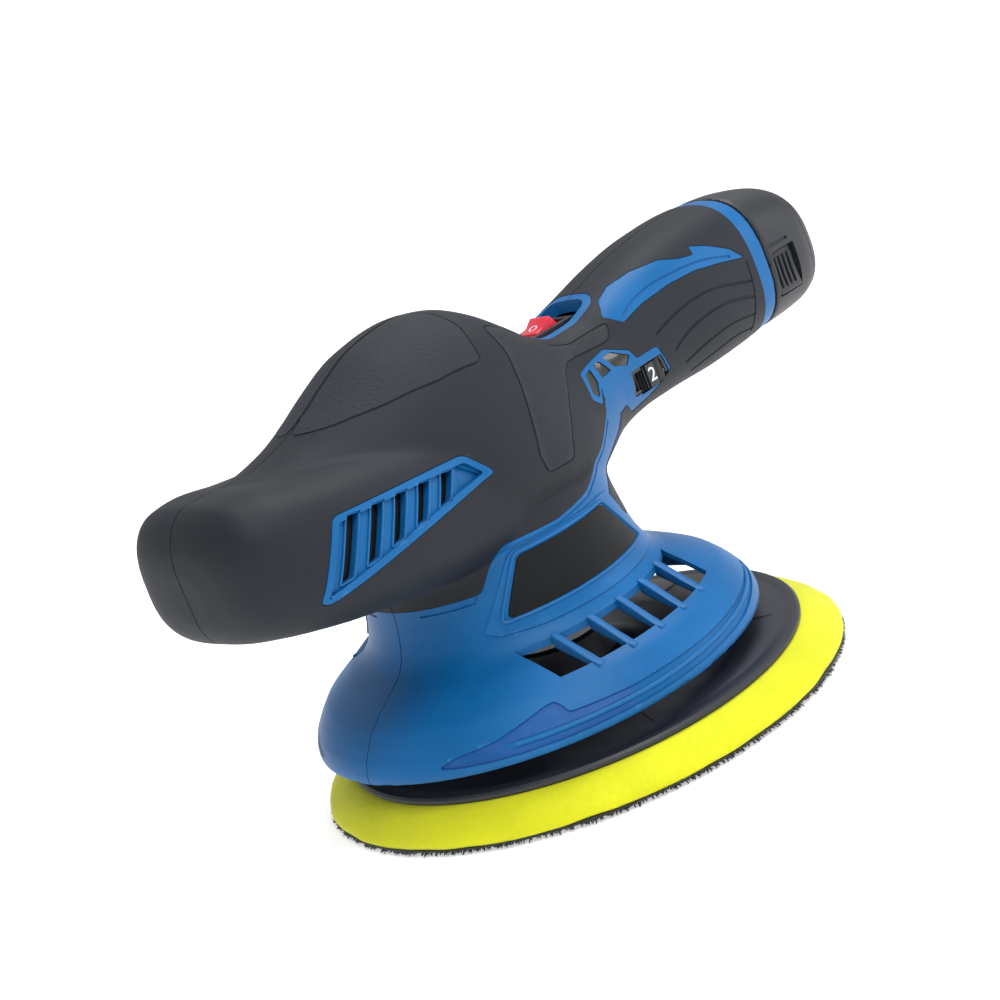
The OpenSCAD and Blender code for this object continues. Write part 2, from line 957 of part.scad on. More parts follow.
module battery_contacts() {
  color([0.8, 0.65, 0.3])
    for (y = [-6, 6], s = [-1, 1])
      translate([74, y + s - 0.25, 84.5])
        cube([8, 0.5, 6]);
}

module battery_board() {
  color("darkgreen")
    translate([82, -12, 78])
      cube([1.4, 24, 20]);
}

module latch(side) {
  ribs = 4;
  length = LATCH[1] - LATCH[0] - 2 * LATCH_GAP;
  color(BLACK)
    mirror([0, side > 0 ? 1 : 0, 0]) {
      translate([LATCH[0] + LATCH_GAP, -LATCH_FACE_Y, LATCH[2] + LATCH_GAP])
        cube([length, LATCH_FACE_Y - LATCH_IN_Y, LATCH[3] - LATCH[2] - 2 * LATCH_GAP]);
      translate([LATCH[0] + LATCH_GAP, -LATCH_IN_Y - 1, LATCH[3] - 2])
        cube([length, 1, LATCH_TAB_TOP - LATCH[3] + 2 - LATCH_GAP]);
      for (i = [0:ribs - 1])
        translate([LATCH[0] + 1.6 + 1.95 * i, -LATCH_FACE_Y - 1, LATCH[2] + 2])
          cube([1.1, 1.1, LATCH[3] - LATCH[2] - 4]);
    }
}

module latch_left() {
  latch(-1);
}

module latch_right() {
  latch(1);
}

// Springs behind the latches, at the length they have with the latch pressed
module latch_springs() {
  length = LATCH_IN_Y - LATCH_SEAT_Y - LATCH_TRAVEL - 1.2;
  color(STEEL)
    for (side = [-1, 1])
      translate([124, side * (LATCH_SEAT_Y + length / 2), 92.2])
        rotate([90, 0, 0])
          difference() {
            cylinder(r = 2.2, h = length, center = true, $fn = 32);
            cylinder(r = 1.6, h = 20, center = true, $fn = 32);
          }
}

shell_left();
shell_right();
grip_left();
grip_right();
vent_grille_left();
vent_grille_right();
badge_left();
badge_right();
indicator_lens();
indicator_board();
housing_screws();
motor_can();
motor_end_cap();
motor_magnets();
motor_bearing_front();
motor_bearing_rear();
motor_mount_plate();
motor_screws();
motor_shaft();
armature();
commutator();
cooling_fan();
eccentric_hub();
counterweight();
hub_set_screw();
spindle_bearing_lower();
spindle_bearing_upper();
spindle();
spindle_clip();
plate_insert();
backing_plate();
foam_pad();
hook_face();
switch_body();
rocker_button();
dial_pot();
speed_dial();
control_board();
terminal_block();
supply_leads();
motor_leads();
battery_case();
battery_stem();
battery_cells();
battery_contacts();
battery_board();
latch_left();
latch_right();
latch_springs();
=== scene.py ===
import math
import random

import bmesh
import bpy
import numpy as np
from mathutils import Matrix, Vector
from mathutils.bvhtree import BVHTree


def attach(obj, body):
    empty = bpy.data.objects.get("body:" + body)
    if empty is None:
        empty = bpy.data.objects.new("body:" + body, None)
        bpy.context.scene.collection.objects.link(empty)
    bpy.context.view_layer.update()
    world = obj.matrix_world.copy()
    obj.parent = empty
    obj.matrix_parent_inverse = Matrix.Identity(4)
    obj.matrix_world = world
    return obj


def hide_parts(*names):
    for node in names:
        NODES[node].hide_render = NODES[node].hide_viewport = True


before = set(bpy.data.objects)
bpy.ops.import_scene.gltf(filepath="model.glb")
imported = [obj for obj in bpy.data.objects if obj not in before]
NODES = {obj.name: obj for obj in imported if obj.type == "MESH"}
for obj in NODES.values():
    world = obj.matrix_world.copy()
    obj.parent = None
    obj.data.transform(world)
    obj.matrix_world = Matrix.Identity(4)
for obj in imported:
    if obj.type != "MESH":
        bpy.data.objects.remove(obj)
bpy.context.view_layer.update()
scene = bpy.context.scene
random.seed(7)
MM = 0.001

# ---- camera: a three-quarter view from the front left, rolled about its own axis -----------------
AZ, EL, ROLL = (math.radians(v) for v in (-37.21, 14.91, 21.66))
CAMERA_AT = Vector((-345.4, -466.6, 219.5)) * MM
LENS, SENSOR = 80.53, 36
back = Vector((math.sin(AZ) * math.cos(EL), -math.cos(AZ) * math.cos(EL), math.sin(EL)))
right = (-back).cross(Vector((0, 0, 1))).normalized()
up = right.cross(-back)
cam_right = right * math.cos(ROLL) - up * math.sin(ROLL)
cam_up = right * math.sin(ROLL) + up * math.cos(ROLL)
cam_data = bpy.data.cameras.new("camera")
cam_data.lens, cam_data.sensor_width = LENS, SENSOR
cam_data.clip_start, cam_data.clip_end = 0.01, 50
camera = bpy.data.objects.new("camera", cam_data)
turn = Matrix((cam_right, cam_up, back)).transposed().to_4x4()
camera.matrix_world = Matrix.Translation(CAMERA_AT) @ turn
scene.collection.objects.link(camera)
scene.camera = camera

# ---- outer form, in millimetres: [x, lowest z, highest z, half width, exponent, top taper] -------
NOSE = [
    [-91, 78, 92, 7, 2.4, 0.00], [-90.2, 75, 96.6, 15, 2.6, 0.03], [-88.4, 72, 100.4, 21.5, 2.8, 0.05],
    [-85.4, 70, 103.9, 26, 3.0, 0.06], [-81, 68.6, 105.8, 29.2, 3.2, 0.08], [-75, 67, 105.8, 31.6, 3.4, 0.09],
    [-62, 63.9, 103.6, 33.5, 3.5, 0.10], [-45, 60.9, 101.4, 34.4, 3.5, 0.10], [-28, 58.8, 99.5, 34.5, 3.5, 0.10],
    [-14, 58, 98.5, 33.8, 3.4, 0.10], [-8, 58.5, 97, 32.4, 3.2, 0.10], [-4, 60, 94.5, 29.5, 3.0, 0.08],
    [-1, 64, 90, 24, 2.8, 0.05],
]
BODY = [
    [-80, 86, 101, 10, 2.4, 0.10], [-74, 82, 105.2, 16, 2.4, 0.12], [-62, 74, 104.9, 21, 2.4, 0.15],
    [-50, 66, 107, 25, 2.4, 0.20], [-40, 60, 110.8, 28, 2.4, 0.24], [-30, 57, 115.6, 30.5, 2.4, 0.26],
    [-18, 55, 120.2, 32.5, 2.4, 0.27], [-4, 54, 121.8, 33.5, 2.4, 0.26], [6, 54, 120.4, 33.2, 2.4, 0.24],
    [14, 54, 116.4, 32, 2.4, 0.22], [22, 55, 110, 30, 2.4, 0.20], [30, 57.5, 103, 27.2, 2.4, 0.15],
    [38, 61, 99.2, 24.4, 2.5, 0.10], [46, 63.8, 99.4, 22, 2.6, 0.06], [54, 65.2, 101.8, 20.8, 2.6, 0.06],
    [64, 66, 104.4, 20.4, 2.6, 0.06], [74, 66, 106.8, 20.6, 2.6, 0.05], [90, 65.6, 109.2, 21.2, 2.6, 0.04],
    [104, 66, 109.8, 20.9, 2.6, 0.03], [116.5, 66.8, 109, 20.3, 2.6, 0.02],
]
BATTERY = [
    [116.5, 66.8, 109, 20.3, 2.6, 0.02], [124, 67, 108.2, 20.1, 2.6, 0.02], [132, 67.6, 106.4, 19.6, 2.6, 0.02],
    [137.5, 69, 103.8, 18, 2.6, 0.02], [141, 71.4, 100.4, 15.4, 2.6, 0.02], [143, 75.5, 96, 10, 2.5, 0.02],
]
STEM = [
    [71, 70.2, 101.2, 16.6, 3.4, 0.0], [82, 70.2, 104.8, 16.6, 3.4, 0.0], [116.5, 70.2, 105, 16.6, 3.4, 0.0],
]
CELL_BAY = [
    [100, 71.2, 104, 15.6, 3.4, 0.0], [126, 71.6, 103.4, 15.4, 3.4, 0.0], [136, 73.6, 101.6, 14.6, 3.6, 0.0],
]
SKIRT_RIM_Z = 17
SKIRT = [
    [64, 17], [64.3, 19], [63, 22.5], [60.5, 26], [57.5, 29.3], [54, 31.6], [48.6, 34.8], [44.8, 36.8], [42.4, 38.6],
    [40.6, 41], [39, 45], [37.8, 50], [37, 56], [36.6, 60],
]
NECK_ZONE = [
    [-75, 0], [-75, 52], [-27, 53.5], [-24, 58.5], [-20.5, 63.5], [-4, 63], [9, 64.5], [24, 70.5], [33, 77],
    [35, 80], [40, 73.5], [37, 70], [27, 64], [19, 58], [26, 50], [52, 47], [75, 47], [75, 0],
]
CONTROL_ZONE = [
    [31, 89], [45, 90.5], [53.5, 86.5], [55, 83.4], [63.5, 83.4], [66.5, 75.5], [62, 73], [56, 71.5], [47, 71],
    [44.5, 74.3], [40, 73.5], [35, 80], [36, 83], [33, 79], [29.5, 82],
]
ACCENT_ZONE = [
    [53, 97], [57, 100.5], [63, 102.5], [71, 103.5], [80, 103], [85, 101], [90.5, 100], [91, 102.5], [96, 100.5],
    [103, 96.5], [107, 92.3], [97.5, 94.5], [87.5, 96.3], [77, 96.5], [66, 95.5], [57, 93.5],
]
VENT_ZONE = [[-63.5, 93], [-21, 89.5], [-15, 82], [-73.5, 75], [-76, 76]]
BADGE_ZONE = [[-25.5, 45.5], [22.5, 45.5], [12.5, 59.5], [-17.5, 59.5]]
LENS_ZONES = [
    [[31, 83], [33, 88], [36, 88.5], [36, 84.5], [33.5, 81]],
    [[38, 88.7], [41, 88.7], [43.5, 84.8], [38.5, 84.5]],
    [[43, 89], [47, 88.8], [53, 85.4], [50.5, 83.2], [47, 84.6], [45.5, 84.8]],
]
DIAL_WINDOW = [[50.5, 81], [64, 81], [66, 75], [62, 73.4], [49.5, 74]]
# Grained palm panel seen from above [x, distance from the seam]; side panel seen from the side [x, z]
PALM_PANEL = [
    [-47.5, 0.5], [-43.4, 10.5], [-30.3, 19.4], [-16.7, 24], [-1.8, 25.8], [0.8, 25.3], [1.9, 22.5], [4.2, 17.5],
    [3.6, 11.9], [3, 0.5],
]
SIDE_PANEL = [
    [10, 112], [9.1, 105], [6.9, 100], [4.3, 93], [2.1, 87], [-0.6, 79.3], [0.2, 74.2], [10.7, 73.5],
    [12.6, 77.8], [18.1, 85.5], [24.5, 91.6], [29.5, 93.1], [38.5, 92.2], [48, 91.6], [50.3, 92.6],
    [52.3, 95.6], [38, 95.4], [31, 98], [24, 104], [17, 109], [13, 111.6],
]
# On neck and skirt [angle, z]
SKIRT_FIELD = [
    [-157, 20.9], [-152.8, 22.5], [-142, 24], [-129, 27.5], [-126.2, 27.8], [-124.8, 26.6], [-123.6, 24.6],
    [-108, 23.9], [-80, 23.9], [-55, 24.3], [-36, 24.1], [-34, 23.2], [-36, 22.2], [-55, 21.3], [-67, 20.3],
    [-88, 19.6], [-110, 19.3], [-137, 19.3], [-151.5, 19.8], [-156.5, 20.3],
]
SKIRT_FIELD_HEAD = 8  # the first points of the field, which its sunken inlay of painted shade shares
SKIRT_SHADE_INLAY_TAIL = [
    [-108, 22.4], [-139, 22.9], [-140.5, 21.9], [-139, 21.1], [-108, 20.9], [-110, 19.3], [-137, 19.3],
    [-151.5, 19.8], [-156.5, 20.3],
]
SKIRT_RIDGE = [
    (-137.8, 22), (-123.8, 21.8), (-103.7, 21.6), (-86.2, 21.9), (-72, 22.4), (-55.9, 23), (-38, 23.3),
]
NECK_FRAME = [
    [-140.5, 43.8], [-122.2, 60], [-119.2, 61.2], [-67, 61.4], [-60, 60.4], [-44, 44], [-41, 41], [-88, 40.9],
    [-118, 41.2], [-136, 42.2],
]
# Grooves in the side view [x, z]
HANDLE_GROOVES = [
    [(65.2, 86.3), (72.5, 88.2), (81.9, 89.5), (91.6, 89), (106.5, 85.1)],
    [(69.9, 79.5), (76.7, 82.3), (85.9, 83.7), (95.3, 83.3), (106, 80.6)],
    [(73.2, 74.3), (83.2, 76.4), (92.9, 77.2), (100, 76.6), (105.4, 75.6)],
    [(76.5, 70.6), (85.9, 71.9), (95.8, 72.8), (104.6, 71.8)],
]
HANDLE_END_GROOVE = [(107.3, 91), (106.6, 84), (105, 76), (104, 71)]
ACCENT_GROOVE = [
    (58.6, 95.2), (63.7, 97.1), (70.7, 98.5), (78.6, 98.7), (87.1, 98.3), (94.8, 96.9), (102.1, 94.6),
]
NECK_STEP = [
    (-72, 50.6), (-29, 51.8), (-25.8, 57.4), (-22.4, 62), (-4, 61.9), (9.4, 63.3), (24.4, 69.2), (32, 75),
]
RING = (110.5, 116.5)
ROCKER_X, ROCKER_Z = 44, 97.8
# Speed wheel [x, y, lowest z, highest z, radius]
DIAL = (58.5, -10, 73.8, 80.4, 10.5)
PAD_AT = (6, -4.5)
SCREWS = [[-84.6, 87], [-42, 68.5], [-38, 100], [29.5, 68], [31, 95]]
# Latch opening [front x, rear x, lowest z, highest z]
LATCH = (118.3, 129, 75.2, 88.8)

SIDES = (-1, 1)     # left, right
BESIDE = 90         # clear of the form at either side
ABOVE = 140         # clear of the form overhead
SKIN, WALL = 1.2, 2.2
VOXEL, COVER_VOXEL = 0.9, 0.7
SEAM_HALF = 0.18
PITCH, RIB = 10, 2.2            # air windows of the skirt
WINDOW_IN, WINDOW_OUT = 43.0, 54.4
BAR_IN, BAR_OUT = 42.8, 56.2
LIP = 0.15                      # vent frame proud of the grip
SHARP = 38                      # smoothing angle of the large pieces
LATCH_GAP, LATCH_FACE_Y = 0.35, 18.6
FLOOR_HALF, FLOOR_Z = 4000, -0.3


# ---- mesh helpers --------------------------------------------------------------------------------
def made(name, verts, faces):
    me = bpy.data.meshes.new(name)
    me.from_pydata([(v[0] * MM, v[1] * MM, v[2] * MM) for v in verts], [], faces)
    bm = bmesh.new()
    bm.from_mesh(me)
    bmesh.ops.recalc_face_normals(bm, faces=bm.faces)
    bm.to_mesh(me)
    bm.free()
    o = bpy.data.objects.new(name, me)
    scene.collection.objects.link(o)
    return o


def drop(o):
    me = o.data
    bpy.data.objects.remove(o)
    if me.users == 0:
        bpy.data.meshes.remove(me)


def bake(o):
    dg = bpy.context.evaluated_depsgraph_get()
    me = bpy.data.meshes.new_from_object(o.evaluated_get(dg))
    old = o.data
    o.modifiers.clear()
    o.data = me
    if old.users == 0:
        bpy.data.meshes.remove(old)
    return o


def modify(o, kind, **values):
    m = o.modifiers.new(kind, kind)
    for k, v in values.items():
        setattr(m, k, v)
    return bake(o)


def twin(o, name):
    c = bpy.data.objects.new(name, o.data.copy())
    scene.collection.objects.link(c)
    return c


def solve(a, b, operation="DIFFERENCE", keep=False):
    before = len(a.data.polygons)
    modify(a, "BOOLEAN", operation=operation, solver="MANIFOLD", object=b)
    if len(a.data.polygons) in (0, before):
        print("boolean left", a.name, "at", len(a.data.polygons), "faces after", b.name)
    if not keep:
        drop(b)
    return a


def joined(name, parts):
    """One object from several, each keeping its place."""
    bm = bmesh.new()
    for p in parts:
        bm.from_mesh(p.data)
    me = bpy.data.meshes.new(name)
    bm.to_mesh(me)
    bm.free()
    o = bpy.data.objects.new(name, me)
    scene.collection.objects.link(o)
    for p in parts:
        drop(p)
    return o


def pchip(s, y, q):
    h, n = np.diff(s), len(s)
    d = np.diff(y) / h
    m = np.zeros(n)
    for i in range(1, n - 1):
        if d[i - 1] * d[i] > 0:
            w1, w2 = 2 * h[i] + h[i - 1], h[i] + 2 * h[i - 1]
            m[i] = (w1 + w2) / (w1 / d[i - 1] + w2 / d[i])
    m[0], m[-1] = d[0], d[-1]
    k = np.clip(np.searchsorted(s, q) - 1, 0, n - 2)
    t = (q - s[k]) / h[k]
    return (
        (2 * t**3 - 3 * t**2 + 1) * y[k] + (t**3 - 2 * t**2 + t) * h[k] * m[k]
        + (3 * t**2 - 2 * t**3) * y[k + 1] + (t**3 - t**2) * h[k] * m[k + 1]
    )


def loft(name, table, grow=0.0, ends=(1, 1), rings=140, around=96):
    t = np.array(table, float)
    s = np.r_[0, np.cumsum(np.diff(t[:, 0]) + 0.5 * np.abs(np.diff(t[:, 3])) + 0.01)]
    q = np.linspace(0, s[-1], rings)
    rows = np.stack([pchip(s, t[:, c], q) for c in range(6)], 1) if len(table) > 2 else t
    x0, x1 = rows[0][0], rows[-1][0]
    verts, faces, n = [], [], len(rows)
    for x, zl, zh, hw, e, tap in rows:
        f = (x - x0) / (x1 - x0)
        gx = grow * (f * ends[1] - (1 - f) * ends[0])
        for i in range(around):
            a = 2 * math.pi * i / around
            c, v = math.cos(a), math.sin(a)
            u = math.copysign(abs(v) ** (2 / e), v)
            w = math.copysign(abs(c) ** (2 / e), c)
            y, z = (hw + grow) * (1 - tap * u) * w, (zl + zh) / 2 + ((zh - zl) / 2 + grow) * u
            verts.append((x + gx, y, z))
    faces.append(list(range(around)))
    for k in range(n - 1):
        for i in range(around):
            j = (i + 1) % around
            faces.append([k * around + i, (k + 1) * around + i, (k + 1) * around + j, k * around + j])
    faces.append([(n - 1) * around + i for i in range(around)])
    return made(name, verts, faces)


def revolve(name, profile, steps=192, centre=(0, 0)):
    """Solid of revolution; the profile runs from the axis and back to it."""
    verts, rings, faces = [], [], []
    for r, h in profile:
        if r == 0:
            rings.append([len(verts)] * steps)
            verts.append((centre[0], centre[1], h))
        else:
            rings.append(list(range(len(verts), len(verts) + steps)))
            for i in range(steps):
                a = 2 * math.pi * i / steps
                verts.append((centre[0] + r * math.cos(a), centre[1] + r * math.sin(a), h))
    for a, b in zip(rings, rings[1:]):
        for i in range(steps):
            j = (i + 1) % steps
            quad = [a[i], b[i], b[j], a[j]]
            face = [v for k, v in enumerate(quad) if v != quad[k - 1]]
            if len(face) > 2:
                faces.append(face)
    return made(name, verts, faces)


def rounded(outline, r, n=5):
    """The outline with each corner turned into a short curve."""
    out, m = [], len(outline)
    for i in range(m):
        p, a, b = (np.array(outline[k % m], float) for k in (i, i - 1, i + 1))
        da, db = a - p, b - p
        la, lb = np.hypot(*da), np.hypot(*db)
        s, e = p + da * min(r / la, 0.45), p + db * min(r / lb, 0.45)
        for k in range(n + 1):
            t = k / n
            out.append(tuple((1 - t) ** 2 * s + 2 * t * (1 - t) * p + t * t * e))
    return out


def offset(outline, d):
    """The outline moved outwards by d."""
    p = np.array(outline, float)
    area = 0.5 * np.sum(p[:, 0] * np.roll(p[:, 1], -1) - np.roll(p[:, 0], -1) * p[:, 1])
    sign, out, m = (1 if area > 0 else -1), [], len(p)
    for i in range(m):
        e1, e2 = p[i] - p[i - 1], p[(i + 1) % m] - p[i]
        n1 = np.array([e1[1], -e1[0]]) / np.hypot(*e1) * sign
        n2 = np.array([e2[1], -e2[0]]) / np.hypot(*e2) * sign
        b = n1 + n2
        b /= max(np.hypot(*b), 1e-6)
        out.append(tuple(p[i] + b * d / max(b @ n1, 0.45)))
    return out


def prism(name, outline, lo, hi, axis="y"):
    """Prism of an outline [x, z] along Y, or [x, y] along Z, or [y, z] along X."""
    place = {
        "x": lambda a, b, h: (h, a, b), "y": lambda a, b, h: (a, h, b), "z": lambda a, b, h: (a, b, h),
    }[axis]
    n = len(outline)
    verts = [place(a, b, lo) for a, b in outline] + [place(a, b, hi) for a, b in outline]
    faces = [list(range(n)), [n + i for i in range(n)]]
    faces += [[i, (i + 1) % n, n + (i + 1) % n, n + i] for i in range(n)]
    return made(name, verts, faces)


def block(name, lo, hi, bevel=0.0, segments=3):
    plan = [(lo[0], lo[1]), (hi[0], lo[1]), (hi[0], hi[1]), (lo[0], hi[1])]
    o = prism(name, plan, lo[2], hi[2], "z")
    if bevel:
        modify(o, "BEVEL", width=bevel * MM, segments=segments)
    return o


def spline(points, step=1.2, closed=False, curved=True):
    """Points along a smooth or a straight-sided line through these, about step apart."""
    p = [np.array(q, float) for q in points]
    n, out = len(p), []
    for i in range(n if closed else n - 1):
        a, b = p[i], p[(i + 1) % n]
        before = p[i - 1] if (closed or i) else a
        after = p[(i + 2) % n] if (closed or i < n - 2) else b
        k = max(2, int(np.linalg.norm(b - a) / step))
        for j in range(k):
            t = j / k
            if curved:
                square = (2 * before - 5 * a + 4 * b - after) * t * t
                cube = (3 * a - before - 3 * b + after) * t**3
                out.append(0.5 * (2 * a + (b - before) * t + square + cube))
            else:
                out.append(a + (b - a) * t)
    if not closed:
        out.append(p[-1])
    return out


def tube(name, points, radius, sides=8, closed=False):
    """Tube along points in millimetres."""
    pts = [Vector(p) for p in points]
    n, verts, faces = len(pts), [], []
    normal = None
    for i, p in enumerate(pts):
        ahead = pts[(i + 1) % n] if (closed or i < n - 1) else p
        behind = pts[i - 1] if (closed or i) else p
        t = (ahead - behind).normalized()
        if normal is None:
            normal = t.orthogonal().normalized()
        normal = (normal - t * normal.dot(t)).normalized()
        side = t.cross(normal)
        for k in range(sides):
            a = 2 * math.pi * k / sides
            verts.append(tuple(p + (normal * math.cos(a) + side * math.sin(a)) * radius))
    for i in range(n if closed else n - 1):
        j = (i + 1) % n
        for k in range(sides):
            m = (k + 1) % sides
            faces.append([i * sides + k, j * sides + k, j * sides + m, i * sides + m])
    if not closed:
        faces += [list(range(sides)), [(n - 1) * sides + k for k in range(sides)]]
    return made(name, verts, faces)


def displaced(o, name, move):
    """A twin whose surface moves outwards by move millimetres."""
    c = twin(o, name)
    n = len(c.data.vertices)
    co, no = np.zeros(n * 3), np.zeros(n * 3)
    c.data.vertices.foreach_get("co", co)
    c.data.vertex_normals.foreach_get("vector", no)
    c.data.vertices.foreach_set("co", co + no * move * MM)
    c.data.update()
    return c


def coords(o):
    co = np.zeros(len(o.data.vertices) * 3)
    o.data.vertices.foreach_get("co", co)
    return co.reshape(-1, 3) / MM


# ---- materials -----------------------------------------------------------------------------------
def lin(r, g, b):
    """A display colour, 0 to 255, as linear light."""
    rgb = (c / 255 / 12.92 if c <= 10 else ((c / 255 + 0.055) / 1.055) ** 2.4 for c in (r, g, b))
    return tuple(rgb) + (1.0,)


def shade(name, colour, rough=0.5, grain=900.0, depth=0.15, mottle=0.1, wear=0.15, second=None, **sockets):
    """Moulded, rubbed or drawn surface: two tones, uneven roughness, a fine grain and lighter edges."""
    m = bpy.data.materials.new(name)
    m.use_nodes = True
    nodes, links = m.node_tree.nodes, m.node_tree.links
    bsdf = nodes["Principled BSDF"]
    place = nodes.new("ShaderNodeTexCoord")
    broad = nodes.new("ShaderNodeTexNoise")
    broad.inputs["Scale"].default_value = 38
    broad.inputs["Detail"].default_value = 5
    fine = nodes.new("ShaderNodeTexNoise")
    fine.inputs["Scale"].default_value = grain
    fine.inputs["Detail"].default_value = 3
    links.new(place.outputs["Object"], broad.inputs["Vector"])
    links.new(place.outputs["Object"], fine.inputs["Vector"])
    tone = nodes.new("ShaderNodeValToRGB")
    tone.color_ramp.elements[0].position, tone.color_ramp.elements[1].position = 0.3, 0.7
    other = second or tuple(min(1, c * (1 + 2 * mottle) + 0.002) for c in colour[:3]) + (1,)
    tone.color_ramp.elements[0].color = tuple(c * (1 - mottle) for c in colour[:3]) + (1,)
    tone.color_ramp.elements[1].color = other
    links.new(broad.outputs["Fac"], tone.inputs["Fac"])
    edge = nodes.new("ShaderNodeNewGeometry")
    worn = nodes.new("ShaderNodeMapRange")
    worn.inputs["From Min"].default_value, worn.inputs["From Max"].default_value = 0.53, 0.62
    worn.inputs["To Max"].default_value = wear
    links.new(edge.outputs["Pointiness"], worn.inputs["Value"])
    mix = nodes.new("ShaderNodeMixRGB")
    mix.inputs["Color2"].default_value = tuple(min(1, c * 1.6 + 0.06) for c in colour[:3]) + (1,)
    links.new(worn.outputs["Result"], mix.inputs["Fac"])
    links.new(tone.outputs["Color"], mix.inputs["Color1"])
    links.new(mix.outputs["Color"], bsdf.inputs["Base Color"])
    gloss = nodes.new("ShaderNodeMapRange")
    gloss.inputs["To Min"].default_value = max(0.03, rough - 0.09)
    gloss.inputs["To Max"].default_value = min(1, rough + 0.09)
    links.new(broad.outputs["Fac"], gloss.inputs["Value"])
    links.new(gloss.outputs["Result"], bsdf.inputs["Roughness"])
    bump = nodes.new("ShaderNodeBump")
    bump.inputs["Strength"].default_value = depth
    bump.inputs["Distance"].default_value = 0.0004
    links.new(fine.outputs["Fac"], bump.inputs["Height"])
    links.new(bump.outputs["Normal"], bsdf.inputs["Normal"])
    for k, v in sockets.items():
        bsdf.inputs[k.replace("_", " ")].default_value = v
    return m


M = {
    "rubber": shade("grip_rubber", lin(27, 31, 39), 0.6, 1500, 0.14, 0.1, 0.2, Specular_IOR_Level=0.28),
    "rubber_grain": shade("grip_rubber_grained", lin(31, 35, 43), 0.68, 1100, 0.7, 0.16, 0.2, Specular_IOR_Level=0.32),
    "blue": shade("blue_moulded_abs", lin(0, 92, 152), 0.45, 2200, 0.12, 0.07, 0.3, Specular_IOR_Level=0.25),
    # a darker copy of the moulded blue for the sheet in the skirt recess: painted shade
    "blue_painted_shade": shade("blue_moulded_abs_painted_shade", lin(0, 76, 142), 0.5, 1600, 0.25, 0.07, 0.2, Specular_IOR_Level=0.3),
    "badge": shade("badge_black", lin(14, 17, 20), 0.5, 900, 0.05, 0.06, 0.1, Specular_IOR_Level=0.18),
    "lens": shade("smoked_lens", lin(74, 74, 66), 0.12, 500, 0.05, 0.2, 0.0, Transmission_Weight=0.55, IOR=1.49),
    "battery": shade("battery_black_abs", lin(27, 31, 37), 0.5, 1800, 0.14, 0.08, 0.3),
    "latch": shade("latch_black", lin(22, 25, 31), 0.42, 1500, 0.1, 0.08, 0.4),
    "nylon": shade("black_nylon", lin(20, 22, 26), 0.38, 1400, 0.12, 0.1, 0.25),
    "plate": shade("plate_polyurethane", lin(28, 31, 42), 0.46, 1200, 0.12, 0.1, 0.2),
    "foam": shade("yellow_foam", lin(226, 228, 0), 0.85, 650, 0.7, 0.05, 0.0, lin(206, 208, 0), Sheen_Weight=0.12),
    "hooks": shade("hook_fleece", lin(26, 30, 36), 0.8, 900, 0.6, 0.2, 0.1, Sheen_Weight=0.3),
    "red": shade("rocker_red", lin(216, 18, 52), 0.26, 900, 0.04, 0.05, 0.1, Subsurface_Weight=0.15, Coat_Weight=0.2),
    "mark": shade("printed_mark", lin(238, 214, 224), 0.5, 900, 0.08, 0.03, 0.0),
    "digit": shade("printed_digit", lin(232, 236, 242), 0.5, 900, 0.08, 0.03, 0.0),
    "steel": shade("zinc_steel", lin(176, 178, 182), 0.34, 800, 0.06, 0.08, 0.3, Metallic=1.0),
    "ground": shade("ground_steel", lin(196, 198, 202), 0.24, 1200, 0.05, 0.06, 0.2, Metallic=1.0),
    "dark_steel": shade("black_oxide_steel", lin(92, 92, 96), 0.4, 900, 0.08, 0.1, 0.3, Metallic=1.0),
    "alloy": shade("cast_alloy", lin(168, 170, 174), 0.5, 500, 0.3, 0.1, 0.3, Metallic=1.0),
    "bronze": shade("sintered_bronze", lin(176, 132, 72), 0.42, 900, 0.12, 0.12, 0.2, Metallic=1.0),
    "copper": shade("lacquered_copper", lin(184, 102, 56), 0.34, 700, 0.4, 0.2, 0.1, Metallic=1.0),
    "ferrite": shade("ferrite", lin(66, 66, 70), 0.7, 900, 0.3, 0.12, 0.2),
    "fan": shade("fan_nylon", lin(182, 186, 192), 0.5, 900, 0.12, 0.06, 0.2),
    "board": shade("solder_mask", lin(14, 92, 52), 0.35, 300, 0.1, 0.18, 0.1),
    "red_lead": shade("red_pvc", lin(190, 22, 24), 0.4, 900, 0.06, 0.06, 0.1),
    "black_lead": shade("black_pvc", lin(26, 26, 28), 0.4, 900, 0.06, 0.1, 0.1),
    "wrap": shade("cell_wrap", lin(30, 120, 84), 0.35, 300, 0.06, 0.12, 0.1),
}
NODE_LOOK = {
    "indicator_board": "board", "housing_screws": "steel", "motor_can": "steel", "motor_end_cap": "nylon",
    "motor_magnets": "ferrite", "motor_bearing_front": "bronze", "motor_bearing_rear": "bronze",
    "motor_mount_plate": "steel", "motor_screws": "steel", "motor_shaft": "ground", "armature": "copper",
    "commutator": "copper", "cooling_fan": "fan", "eccentric_hub": "alloy", "counterweight": "dark_steel",
    "hub_set_screw": "dark_steel", "spindle_bearing_lower": "ground", "spindle_bearing_upper": "ground",
    "spindle": "ground", "spindle_clip": "dark_steel", "plate_insert": "steel", "switch_body": "nylon",
    "dial_pot": "nylon", "control_board": "board", "terminal_block": "nylon", "supply_leads": "red_lead",
    "motor_leads": "black_lead", "battery_stem": "battery", "battery_cells": "wrap", "battery_contacts": "bronze",
    "battery_board": "board", "latch_springs": "ground",
}
for node_name, o in NODES.items():
    look = M[NODE_LOOK.get(node_name, "nylon")]
    if not o.data.materials:
        o.data.materials.append(look)
    for s in o.material_slots:
        s.material = look


def dress(o, look, body, *replaced, slot=None, sharp=35):
    """Material, shading, body and replaced nodes of a finished piece."""
    o.data.materials.clear()
    o.data.materials.append(M[look])
    o.data.shade_smooth()
    o.data.set_sharp_from_angle(angle=math.radians(sharp))
    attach(o, body)
    if replaced:
        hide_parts(*replaced)
    return o


